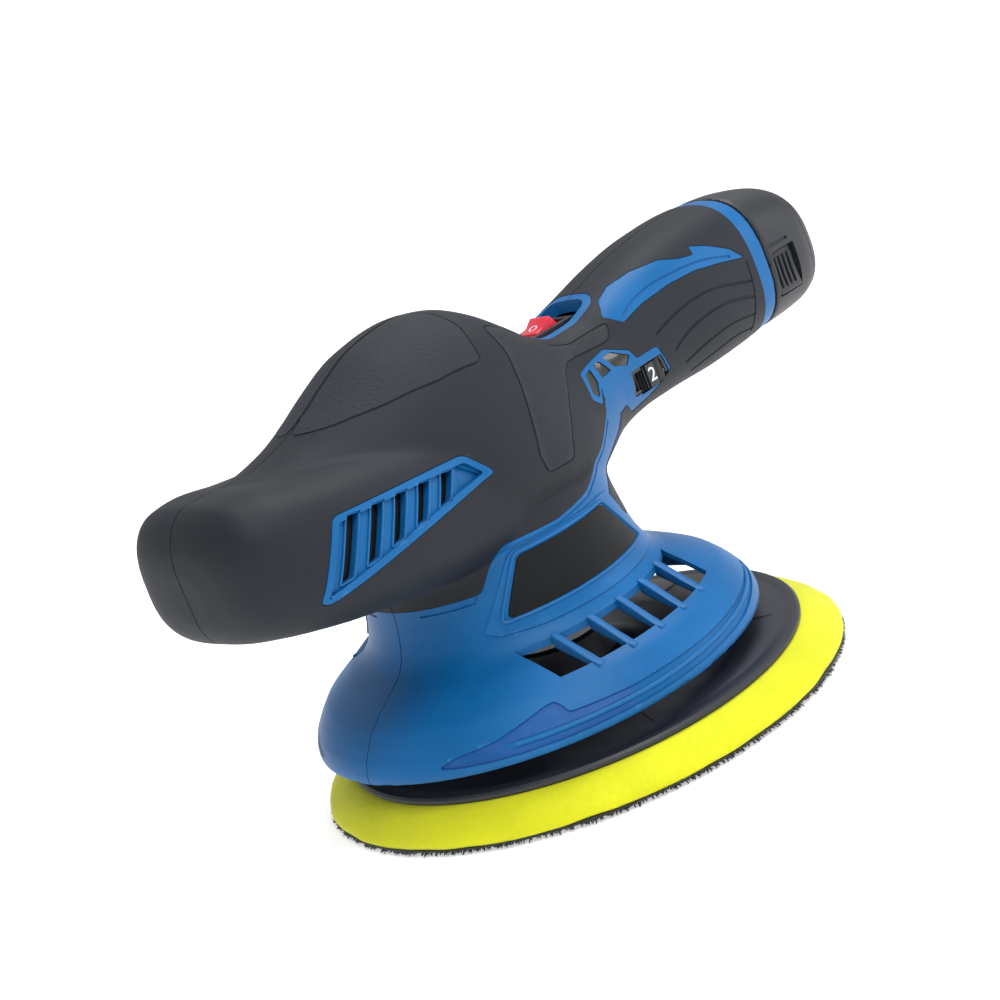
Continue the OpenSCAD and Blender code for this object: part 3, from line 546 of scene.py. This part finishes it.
# ---- the housing's form --------------------------------------------------------------------------
def skirt_solid(name, grow=0.0, foot=0.0):
    low, top = SKIRT_RIM_Z - foot, 68
    side = [(r + grow, h) for r, h in SKIRT]
    return revolve(name, [(0, low), (SKIRT[0][0] + grow, low)] + side + [(SKIRT[-1][0] + grow, top), (0, top)])


def whole(name, grow=0.0, foot=0.0, skirt_grow=None):
    o = loft(name, BODY, grow, (1, 0))
    solve(o, loft("nose", NOSE, grow), "UNION")
    return solve(o, skirt_solid("skirt", grow if skirt_grow is None else skirt_grow, foot), "UNION")


form = whole("form")
modify(form, "REMESH", mode="VOXEL", voxel_size=VOXEL * MM)
modify(form, "SMOOTH", factor=0.5, iterations=9)

surface = BVHTree.FromObject(form, bpy.context.evaluated_depsgraph_get())


def on_side(points, side=-1, lift=0.0):
    """Side-view points laid on the form, from the left (-1) or the right (1)."""
    out = []
    for x, z in points:
        hit = surface.ray_cast(Vector((x, side * BESIDE, z)) * MM, Vector((0, -side, 0)))
        if hit[0] is not None:
            out.append(tuple((hit[0] + hit[1] * lift * MM) / MM))
    return out


def on_side_at(side):
    return lambda a, b: surface.ray_cast(Vector((a, side * BESIDE, b)) * MM, Vector((0, -side, 0)))


def on_top_at(side):
    return lambda a, b: surface.ray_cast(Vector((a, side * b, ABOVE)) * MM, Vector((0, 0, -1)))


def on_neck_at(side):
    def cast(a, b):
        d = Vector((math.cos(math.radians(a)), -side * math.sin(math.radians(a)), 0))
        return surface.ray_cast(d * BESIDE * MM + Vector((0, 0, b)) * MM, -d)
    return cast


def inlay(name, outline, cast, low, high, step_a=1.5, step_b=1.5):
    """Slab that follows the form under an outline, from low to high above the surface."""
    bm = bmesh.new()
    bm.faces.new([bm.verts.new((a, b, 0)) for a, b in outline])
    pts = np.array(outline)
    for axis, step in ((0, step_a), (1, step_b)):
        for c in np.arange(pts[:, axis].min() + step / 2, pts[:, axis].max(), step):
            at, normal = [0, 0, 0], [0, 0, 0]
            at[axis], normal[axis] = c, 1
            everything = bm.verts[:] + bm.edges[:] + bm.faces[:]
            bmesh.ops.bisect_plane(bm, geom=everything, dist=1e-5, plane_co=at, plane_no=normal)
    bmesh.ops.triangulate(bm, faces=bm.faces[:])
    grown = bmesh.ops.extrude_face_region(bm, geom=bm.faces[:])["geom"]
    upper = {v for v in grown if isinstance(v, bmesh.types.BMVert)}
    for v in bm.verts:
        at, normal = cast(v.co.x, v.co.y)[:2]
        if at is None:
            print("inlay", name, "missed the form at", tuple(v.co))
            at, normal = Vector((0, 0, 0.09)), Vector((0, 0, 1))
        v.co = at + normal * (high if v in upper else low) * MM
    bmesh.ops.recalc_face_normals(bm, faces=bm.faces)
    me = bpy.data.meshes.new(name)
    bm.to_mesh(me)
    bm.free()
    o = bpy.data.objects.new(name, me)
    scene.collection.objects.link(o)
    return o


# ---- hollow, layers and zones --------------------------------------------------------------------
def across(o, x, z):
    """A solid of revolution turned from Z to lie along Y at x and z."""
    o.data.transform(Matrix.Rotation(math.radians(-90), 4, "X"))
    o.data.transform(Matrix.Translation(Vector((x, 0, z)) * MM))
    return o


def hole_set(o):
    """Cavity, battery socket and screw holes."""
    solve(o, twin(hollow, "hollow_cut"))
    solve(o, loft("socket", STEM, 0.4, (0, 1)))
    for x, z in SCREWS:
        solve(o, across(revolve("well", [(0, 12), (3, 12), (3, 60), (0, 60)], 32), x, z))


hollow = whole("hollow", -(SKIN + WALL), 8, -3)
under = whole("under", -SKIN, 0)
zone_outlines = [
    (NECK_ZONE, -80, 80, 1.2), (ACCENT_ZONE, -80, -10, 0.8), (ACCENT_ZONE, 10, 80, 0.8), (CONTROL_ZONE, -80, -5, 0.8),
]


def switch_outline(grow):
    x0, x1, y = ROCKER_X - 12.5 - grow, ROCKER_X + 12.5 + grow, 8 + grow
    return rounded([(x0, -y), (x1, -y), (x1, y), (x0, y)], 4 + grow, 8)


def zones(grow):
    parts = [prism("zone", offset(rounded(z, r), grow), a, b) for z, a, b, r in zone_outlines]
    parts.append(block("ring", (RING[0] - grow, -30, 50), (RING[1] + 5, 30, 120)))
    parts.append(prism("bezel", switch_outline(2.4 + grow), 90, 120, "z"))
    first = parts[0]
    for p in parts[1:]:
        solve(first, p, "UNION")
    return first


vent_outline = rounded(VENT_ZONE, 2.0)
vent_hole = offset(vent_outline, 0.2)
vents = joined("vents", [prism("v", vent_hole, -80, -20), prism("v", vent_hole, 20, 80)])

# soft grip skin: one dense solid, cut where the hard shell and the openings come through
skin = twin(form, "grip_skin")
solve(skin, twin(under, "u"))
solve(skin, zones(0.16))
solve(skin, twin(vents, "v"))
hole_set(skin)

# hard shell: inner layer and, in the zones, up to the surface
face = displaced(form, "face", -0.12)
shell = twin(face, "housing_shell")
solve(shell, zones(0.0), "INTERSECT")
solve(shell, twin(under, "u"), "UNION")
solve(shell, twin(vents, "v"))
hole_set(shell)
# screw posts
POST = [(1.7, -22), (3.6, -22), (3.6, 20), (3.0, 20), (3.0, 12), (1.7, 12), (1.7, -22)]
for x, z in SCREWS:
    post = across(revolve("post", POST, 32), x, z)
    solve(post, twin(under, "u"), "INTERSECT")
    solve(shell, post, "UNION")

# air windows over the skirt, with ribs that run out over its shoulder
for side in SIDES:
    for i in range(-3, 3):
        xs = np.linspace(i * PITCH + RIB / 2, (i + 1) * PITCH - RIB / 2, 7)
        outer = [(x, side * math.sqrt(WINDOW_OUT**2 - x * x)) for x in xs]
        inner = [(x, side * math.sqrt(WINDOW_IN**2 - x * x)) for x in xs[::-1]]
        solve(shell, prism("window", outer + inner, 20, 46, "z"))
    for i in range(-2, 3):
        x = i * PITCH
        inner, outer = math.sqrt(BAR_IN**2 - x * x), math.sqrt(BAR_OUT**2 - x * x)
        outline = [
            (side * inner, 38.9), (side * (inner + 2), 37.8), (side * (outer - 2), 31.4), (side * outer, 30.7),
            (side * outer, 28.5), (side * inner, 35),
        ]
        bar = prism("bar", outline, x - RIB / 2, x + RIB / 2, "x")
        modify(bar, "BEVEL", width=0.35 * MM, segments=2)
        solve(shell, bar, "UNION")

# raised frame of the name plate and the long recess over the skirt's rim
for side in SIDES:
    solve(shell, inlay("neck_frame", rounded(NECK_FRAME, 1.0), on_neck_at(side), -0.8, 0.28, 3, 3), "UNION")
    solve(shell, inlay("field_cut", rounded(SKIRT_FIELD, 0.8), on_neck_at(side), -0.75, 1.5, 3, 2))

# switch recess and its well
recess = prism("recess", switch_outline(0), ROCKER_Z, 125, "z")
solve(recess, block("well", (ROCKER_X - 7.3, -5.2, 80), (ROCKER_X + 7.3, 5.2, 110)), "UNION")
solve(shell, twin(recess, "r"))
solve(skin, recess)

# dial window, lens holes
solve(shell, prism("dial_hole", rounded(DIAL_WINDOW, 0.8), -40, -8))
solve(shell, revolve("dial_room", [(0, 73.2), (11, 73.2), (11, 81), (0, 81)], 96, DIAL[:2]))
for z in LENS_ZONES:
    solve(shell, prism("lens_hole", rounded(z, 0.5), -40, -12))

# seam between the two halves, parting grooves and panel lines
seam = block("seam", (-110, -SEAM_HALF, 10), (118, SEAM_HALF, 130))
solve(seam, whole("seam_core", -0.55, 8))
solve(skin, twin(seam, "s"))
solve(shell, seam)


def groove(o, points, radius=0.35, closed=False):
    if len(points) > 3:
        solve(o, tube("groove", points, radius, 8, closed))


grained, deep = [], []
for side in SIDES:
    palm = rounded(PALM_PANEL, 6)
    hits = [on_top_at(side)(a, b) for a, b in spline(palm, 1.4, True, False)]
    groove(skin, [tuple(h[0] / MM) for h in hits if h[0] is not None], 0.3, True)
    grained.append(inlay("palm", offset(palm, -0.25), on_top_at(side), -0.5, 0.07, 2, 2))
    panel = rounded(SIDE_PANEL, 1.2)
    groove(skin, on_side(spline(panel, 1.4, True, False), side), 0.3, True)
    grained.append(inlay("panel", offset(panel, -0.25), on_side_at(side), -0.5, 0.07, 2, 2))
    for path in HANDLE_GROOVES:
        groove(skin, on_side(spline(path, 1.2), side), 0.45)
    groove(skin, on_side(spline(HANDLE_END_GROOVE, 1.2), side), 0.36)
    groove(shell, on_side(spline(ACCENT_GROOVE, 1.2), side, -0.1), 0.42)
    groove(shell, on_side(spline(NECK_STEP, 1.2, curved=False), side, -0.1), 0.36)
    ridge = []
    for a, z in spline(SKIRT_RIDGE, 2):
        h = on_neck_at(side)(a, z)
        ridge.append(tuple((h[0] + h[1] * -0.65 * MM) / MM))
    solve(shell, tube("ridge", ridge, 0.6, 10), "UNION")
    # darker blue sheet laid in the front end of the skirt recess: painted shade of the recess
    wide = rounded(SKIRT_FIELD[:SKIRT_FIELD_HEAD] + SKIRT_SHADE_INLAY_TAIL, 0.6)
    deep.append(inlay("deep", offset(wide, -0.04), on_neck_at(side), -1.2, -0.68, 3, 2))
dress(joined("grip_panels", grained), "rubber_grain", "housing", slot="grip_tpe")
dress(joined("skirt_shade_inlays", deep), "blue_painted_shade", "housing", slot="blue_abs")

dress(skin, "rubber", "housing", "grip_left", "grip_right", slot="grip_tpe", sharp=SHARP)
dress(shell, "blue", "housing", "shell_left", "shell_right", slot="blue_abs", sharp=SHARP)

# ---- vent frames ---------------------------------------------------------------------------------
frames, shade_sheets = [], []
floor_form = displaced(form, "floor_form", -1.0)
for side in SIDES:
    span = (-80, -22) if side < 0 else (22, 80)
    vent = prism("vent_frame", vent_outline, *span)
    solve(vent, displaced(form, "lip", LIP), "INTERSECT")
    solve(vent, whole("vent_core", -3.0))
    dish = prism("dish", offset(vent_outline, -1.7), *span)
    solve(dish, twin(floor_form, "ff"))
    solve(vent, dish)
    for i in range(5):
        top, foot = (-59.6 + 7.55 * i, 92 - 0.8 * i), (-69.9 + 8.72 * i, 77.8 + 0.85 * i)
        corners = [foot, (foot[0] + 4.3, foot[1] + 0.1), (top[0] + 4.0, top[1] - 0.7), top]
        slot_outline = rounded(corners, 0.6, 4)
        solve(vent, prism("slot", slot_outline, *span))
        edge = on_side(spline(slot_outline, 1.0, True, False), side, -0.75)
        frames.append(tube("bead", edge, 0.32, 6, True))
    tri = [(-24.0, 88), (-18.6, 83), (-27.8, 82.2)]
    tri_cut = prism("tri", rounded(tri, 0.5), *span)
    solve(tri_cut, displaced(form, "ff2", -1.8))
    solve(vent, tri_cut)
    frames.append(vent)
    # a black sheet behind the slots: painted shade standing in for the dark inside of the housing
    shade_sheet = prism("shade_sheet", offset(vent_outline, 1), *span)
    solve(shade_sheet, displaced(form, "ff3", -3.6), "INTERSECT")
    solve(shade_sheet, displaced(form, "ff4", -4.6))
    shade_sheets.append(shade_sheet)
dress(joined("vent_shade_sheets", shade_sheets), "nylon", "housing", slot="black_nylon")
drop(floor_form)
dress(joined("vent_frames", frames), "blue", "housing", "vent_grille_left", "vent_grille_right", slot="blue_abs")

# ---- blank badge plates with a raised rim --------------------------------------------------------
badges = []
for side in SIDES:
    span = (-60, -20) if side < 0 else (20, 60)
    plate = prism("badge", rounded(BADGE_ZONE, 1.6), *span)
    solve(plate, displaced(form, "bf", 0.6), "INTERSECT")
    solve(plate, displaced(form, "bf2", -0.8))
    badges.append(plate)
    rim_line = on_side(spline(rounded(offset(BADGE_ZONE, 0.8), 1.8), 1.0, True, False), side, 0.4)
    frame_bead = tube("rim", rim_line, 0.5, 8, True)
    dress(frame_bead, "blue", "housing", slot="blue_abs")
    frame_bead.name = "badge_rim_left" if side < 0 else "badge_rim_right"
dress(joined("badge_plates", badges), "badge", "housing", "badge_left", "badge_right", slot="badge_gloss")

# ---- indicator windows, dial liner ---------------------------------------------------------------
lenses = []
lens_face = displaced(form, "lens_face", -0.45)
lens_back = displaced(form, "lens_back", -1.8)
for z in LENS_ZONES:
    lens = prism("lens", rounded(offset(z, -0.06), 0.5), -40, -12)
    solve(lens, lens_face, "INTERSECT", True)
    solve(lens, lens_back, "DIFFERENCE", True)
    lenses.append(lens)
dress(joined("indicator_windows", lenses), "lens", "housing", "indicator_lens", slot="smoke_lens")
liner = prism("dial_liner", rounded(offset(DIAL_WINDOW, -0.05), 0.8), -40, -12.5)
solve(liner, lens_face, "INTERSECT", True)
solve(liner, prism("bore", rounded(offset(DIAL_WINDOW, -1.0), 0.5), -40, -14.2))
solve(liner, revolve("room", [(0, 73.4), (11, 73.4), (11, 80.8), (0, 80.8)], 96, DIAL[:2]))
dress(liner, "nylon", "housing", slot="black_nylon")
drop(lens_face)
drop(lens_back)

# ---- rocker --------------------------------------------------------------------------------------
TILT = math.radians(-11)
ROCKER = [
    (-5.8, 0), (-5.7, 1.3), (-4.2, 1.75), (-2.4, 2.7), (-0.9, 4.4), (0, 5.1), (0.9, 4.4), (2.4, 2.7), (4.2, 1.75),
    (5.7, 1.3), (5.8, 0), (3, -2.2), (-3, -2.2),
]


def tipped(o):
    """Turned from the rocker's own upright frame to where it rests."""
    o.data.transform(Matrix.Rotation(-TILT, 4, "Y"))
    o.data.transform(Matrix.Translation(Vector((ROCKER_X, 0, ROCKER_Z - 0.6)) * MM))
    return o


rocker = prism("rocker", ROCKER, -3.9, 3.9)
modify(
    rocker, "BEVEL", width=0.35 * MM, segments=3, limit_method="ANGLE", angle_limit=math.radians(50)
)
dress(tipped(rocker), "red", "rocker", "rocker_button", slot="rocker_red")
ring = [
    (-3.2 + 0.95 * math.cos(t), 1.25 * math.sin(t), 2.35 + 0.55 * math.cos(t))
    for t in np.linspace(0, 2 * math.pi, 28, endpoint=False)
]
ring_mark = tube("mark_off", ring, 0.2, 6, True)
bar_mark = tube("mark_on", [(2.3, 0, 2.85), (3.2, 0, 2.3), (4.1, 0, 1.9)], 0.2, 6)
dress(tipped(joined("rocker_marks", [ring_mark, bar_mark])), "mark", "rocker")

# ---- speed dial ----------------------------------------------------------------------------------
outline = []
STEPS = 384
for i in range(STEPS):
    a = 2 * math.pi * i / STEPS
    k = (i % 48) / 48
    ribbed = 0.2 < k < 0.8
    wave = 0.5 - 0.5 * math.cos((k - 0.2) / 0.6 * 2 * math.pi * 5)
    r = DIAL[4] - (0.75 * wave if ribbed else 0.12)
    a0 = a - math.radians(90)
    outline.append((DIAL[0] + r * math.cos(a0), DIAL[1] + r * math.sin(a0)))
wheel = prism("speed_wheel", outline, DIAL[2] + 0.1, DIAL[3], "z")
solve(wheel, revolve("stub", [(0, 71.3), (2, 71.3), (2, 75), (0, 75)], 48, DIAL[:2]), "UNION")
dress(wheel, "nylon", "dial", "speed_dial", slot="black_nylon", sharp=30)
digits = []
for k, text in enumerate(("2", "3", "4", "5", "6", "", "", "1")):
    if not text:
        continue
    font = bpy.data.curves.new("digit", "FONT")
    font.body, font.size, font.extrude = text, 5.6 * MM, 0.12 * MM
    font.align_x, font.align_y = "CENTER", "CENTER"
    holder = bpy.data.objects.new("digit", font)
    scene.collection.objects.link(holder)
    me = bpy.data.meshes.new_from_object(holder.evaluated_get(bpy.context.evaluated_depsgraph_get()))
    bpy.data.objects.remove(holder)
    a = math.radians(-90 + 45 * k)
    n, t = Vector((math.cos(a), math.sin(a), 0)), Vector((-math.sin(a), math.cos(a), 0))
    spot = Vector((DIAL[0], DIAL[1], (DIAL[2] + DIAL[3]) / 2)) * MM + n * (DIAL[4] - 0.05) * MM
    me.transform(Matrix.Translation(spot) @ Matrix((t, Vector((0, 0, 1)), n)).transposed().to_4x4())
    d = bpy.data.objects.new("digit", me)
    scene.collection.objects.link(d)
    digits.append(d)
dress(joined("dial_digits", digits), "digit", "dial")

# ---- battery -------------------------------------------------------------------------------------
cover = loft("battery_cover", BATTERY, 0, (0, 0), 80)
modify(cover, "REMESH", mode="VOXEL", voxel_size=COVER_VOXEL * MM)
modify(cover, "SMOOTH", factor=0.5, iterations=6)
cover_surface = BVHTree.FromObject(cover, bpy.context.evaluated_depsgraph_get())
solve(cover, loft("bay", CELL_BAY, 0, (0, 0), 30))
for side in SIDES:
    lo_y, hi_y = (-40, -14) if side < 0 else (14, 40)
    x0, x1, z0, z1 = LATCH
    window = rounded([(x0, z0), (x1, z0), (x1, z1), (x0, z1)], 0.8)
    solve(cover, prism("latch_hole", window, lo_y, hi_y))
    lip = [(LATCH[0] - 0.2, LATCH[3] + 2.2), (LATCH[1] - 2, LATCH[3] + 2.0)]
    path = []
    for x, z in spline(lip, 1.0):
        hit = cover_surface.ray_cast(Vector((x, side * 60, z)) * MM, Vector((0, -side, 0)))
        if hit[0] is not None:
            path.append(tuple(hit[0] / MM))
    groove(cover, path, 0.5)
ring_path = []
for i in range(96):
    a = 2 * math.pi * i / 96
    d = Vector((0, math.cos(a), math.sin(a)))
    hit = cover_surface.ray_cast(Vector((136.5, 0, 87)) * MM + d * 60 * MM, -d)
    if hit[0] is not None:
        ring_path.append(tuple(hit[0] / MM))
groove(cover, ring_path, 0.22, True)
dress(cover, "battery", "battery", "battery_case", slot="battery_black")
for side, body in ((-1, "left_latch"), (1, "right_latch")):
    x0, x1 = LATCH[0] + LATCH_GAP, LATCH[1] - LATCH_GAP
    z0, z1 = LATCH[2] + LATCH_GAP, LATCH[3] - LATCH_GAP
    keys = [block("key", (x0, -LATCH_FACE_Y, z0), (x1, -16.4, z1), 0.7, 4)]
    for i in range(4):
        x = LATCH[0] + 2.2 + 1.95 * i
        arc = [
            (x, -LATCH_FACE_Y - 0.25, LATCH[2] + 2.2), (x - 0.3, -LATCH_FACE_Y - 0.45, LATCH[2] + 6.8),
            (x, -LATCH_FACE_Y - 0.25, LATCH[3] - 2.2),
        ]
        keys.append(tube("rib", spline(arc, 0.8), 0.55, 10))
    keys.append(block("tab", (x0, -17.2, LATCH[3] - 2), (x1, -16.2, 94.9), 0.2, 2))
    key = joined("latch_key_left" if side < 0 else "latch_key_right", keys)
    if side > 0:
        key.data.transform(Matrix.Scale(-1, 4, (0, 1, 0)))
        key.data.flip_normals()
    dress(key, "latch", body, "latch_left" if side < 0 else "latch_right", slot="battery_black")

# ---- pad -----------------------------------------------------------------------------------------
plate = revolve("backing_plate_dish", [
    (0, 9.1), (65, 9.1), (65.4, 9.6), (65.4, 10.4), (64.8, 11.0), (62.4, 11.3), (61.6, 11.1), (60.9, 11.35),
    (42, 12.6), (40.4, 12.9), (39.8, 13.5), (24, 15.0), (22.6, 15.6), (16, 17.5), (14, 21), (13.6, 23.6),
    (13, 24), (7.4, 24), (7.4, 12), (0, 12),
], 256, PAD_AT)
marks = []
for k in range(18):
    a = math.radians(20 * k + 8)
    r0, r1 = (44, 47.5) if k % 3 else (44, 58)
    path = [
        (PAD_AT[0] + r * math.cos(a), PAD_AT[1] + r * math.sin(a), 12.62 - (r - 42) * 0.0665)
        for r in np.linspace(r0, r1, 8)
    ]
    marks.append(tube("radial", path, 0.28, 6))
dress(joined("backing_dish", [plate] + marks), "plate", "pad", "backing_plate", slot="plate_black")

foam = revolve("foam_ring", [
    (0, 1.5), (60, 1.5), (73.6, 1.5), (74.6, 1.7), (75.0, 2.3), (74.8, 3.0), (73.9, 4.0), (72.4, 5.2),
    (70.4, 6.6), (68, 8.0), (66.2, 8.8), (65.2, 9.0), (60, 9.0), (0, 9.0),
], 320, PAD_AT)
co = coords(foam)
rel = co[:, :2] - np.array(PAD_AT)
th, rr = np.arctan2(rel[:, 1], rel[:, 0]), np.hypot(rel[:, 0], rel[:, 1])
swell = 0.12 * np.sin(7 * th + 1.3) + 0.09 * np.sin(17 * th + 0.4) + 0.06 * np.sin(41 * th)
out = np.where(rr > 66, (rr - 66) / 9, 0) * (swell - 0.15)
co[:, :2] += rel / np.maximum(rr, 1)[:, None] * out[:, None]
co[:, 2] += np.where(rr > 67, 0.12 * np.sin(11 * th + 2) + 0.07 * np.sin(29 * th), 0)
foam.data.vertices.foreach_set("co", (co * MM).ravel())
dress(foam, "foam", "pad", "foam_pad", slot="foam_yellow", sharp=60)

# hook fleece: a thin cloth disc with its hooks, ragged round the cut edge
HOOK_BASE = [(0, 0.75), (73.8, 0.75), (74.6, 0.95), (74.7, 1.35), (74.3, 1.5), (0, 1.5)]
base = revolve("hook_base", HOOK_BASE, 256, PAD_AT)
verts, faces = [], []


def hook(x, y, z, dx, dy, dz, w):
    """A short bent bristle from one point along a direction."""
    n = len(verts)
    mx, my, mz = x + dx * 0.55, y + dy * 0.55, z + dz * 0.55
    ex, ey = x + dx + random.uniform(-0.2, 0.2), y + dy + random.uniform(-0.2, 0.2)
    ez = max(0.02, z + dz)
    for cx, cy, cz, s in ((x, y, z, w), (mx, my, max(0.04, mz), w * 0.9), (ex, ey, ez, w * 0.6)):
        verts.extend([
            (cx - s, cy, cz), (cx, cy - s, cz), (cx + s, cy, cz + 0.01), (cx, cy + s, cz + 0.01),
        ])
    for k in (0, 4):
        for i in range(4):
            j = (i + 1) % 4
            faces.append([n + k + i, n + k + j, n + k + 4 + j, n + k + 4 + i])
    faces.append([n + 8, n + 9, n + 10, n + 11])
    faces.append([n + 3, n + 2, n + 1, n])


for i in range(2600):
    a = random.uniform(0, 2 * math.pi)
    r = 74.2 + random.uniform(-0.6, 0.25)
    reach = random.uniform(0.3, 1.15)
    hook(
        PAD_AT[0] + r * math.cos(a), PAD_AT[1] + r * math.sin(a), random.uniform(0.6, 1.4),
        reach * math.cos(a), reach * math.sin(a), random.uniform(-0.7, 0.3), 0.26,
    )
for i in range(-37, 38):
    for j in range(-37, 38):
        x, y = i * 2 + random.uniform(-0.5, 0.5), j * 2 + random.uniform(-0.5, 0.5)
        if x * x + y * y < 73.6**2:
            hook(
                PAD_AT[0] + x, PAD_AT[1] + y, 0.8, random.uniform(-0.4, 0.4), random.uniform(-0.4, 0.4), -0.74, 0.3
            )
hooks = joined("hook_fleece", [base, made("bristles", verts, faces)])
dress(hooks, "hooks", "pad", "hook_face", slot="hook_fleece", sharp=50)

# ---- clean away the building solids --------------------------------------------------------------
for o in (form, hollow, under, vents, face):
    drop(o)

# ---- floor and light -----------------------------------------------------------------------------
corners = [(-1, -1), (1, -1), (1, 1), (-1, 1)]
floor_mesh = made("floor", [(a * FLOOR_HALF, b * FLOOR_HALF, FLOOR_Z) for a, b in corners], [[0, 1, 2, 3]])
floor_mesh.data.materials.append(shade(
    "floor_paper", (0.86, 0.86, 0.86, 1), 0.95, 40, 0.02, 0.01, 0.0,
    Emission_Color=(1, 1, 1, 1), Emission_Strength=0.48, Specular_IOR_Level=0.1,
))
world = bpy.data.worlds.new("studio")
scene.world = world
world.use_nodes = True
# the sky lights the object at one strength and is seen by the camera as plain white
nodes, links = world.node_tree.nodes, world.node_tree.links
sky = nodes["Background"]
sky.inputs["Color"].default_value = (1, 1, 1, 1)
sky.inputs["Strength"].default_value = 0.6
seen = nodes.new("ShaderNodeBackground")
seen.inputs["Color"].default_value = (1, 1, 1, 1)
seen.inputs["Strength"].default_value = 1.0
choose = nodes.new("ShaderNodeMixShader")
ray = nodes.new("ShaderNodeLightPath")
links.new(ray.outputs["Is Camera Ray"], choose.inputs[0])
links.new(sky.outputs[0], choose.inputs[1])
links.new(seen.outputs[0], choose.inputs[2])
links.new(choose.outputs[0], nodes["World Output"].inputs["Surface"])
scene.view_settings.view_transform = "Standard"


def lamp(name, at, aim, size, power):
    data = bpy.data.lights.new(name, "AREA")
    data.shape, data.size, data.energy = "DISK", size, power
    o = bpy.data.objects.new(name, data)
    o.location = at
    o.rotation_euler = (Vector(aim) - Vector(at)).to_track_quat("-Z", "Y").to_euler()
    scene.collection.objects.link(o)


lamp("key", (-0.25, -0.7, 1.2), (0.02, 0, 0.07), 0.7, 8)
lamp("top", (0.6, 0.1, 1.3), (0.03, 0, 0.09), 0.7, 10)
lamp("side", (1.1, -0.9, 0.5), (0.05, 0, 0.06), 0.6, 4)
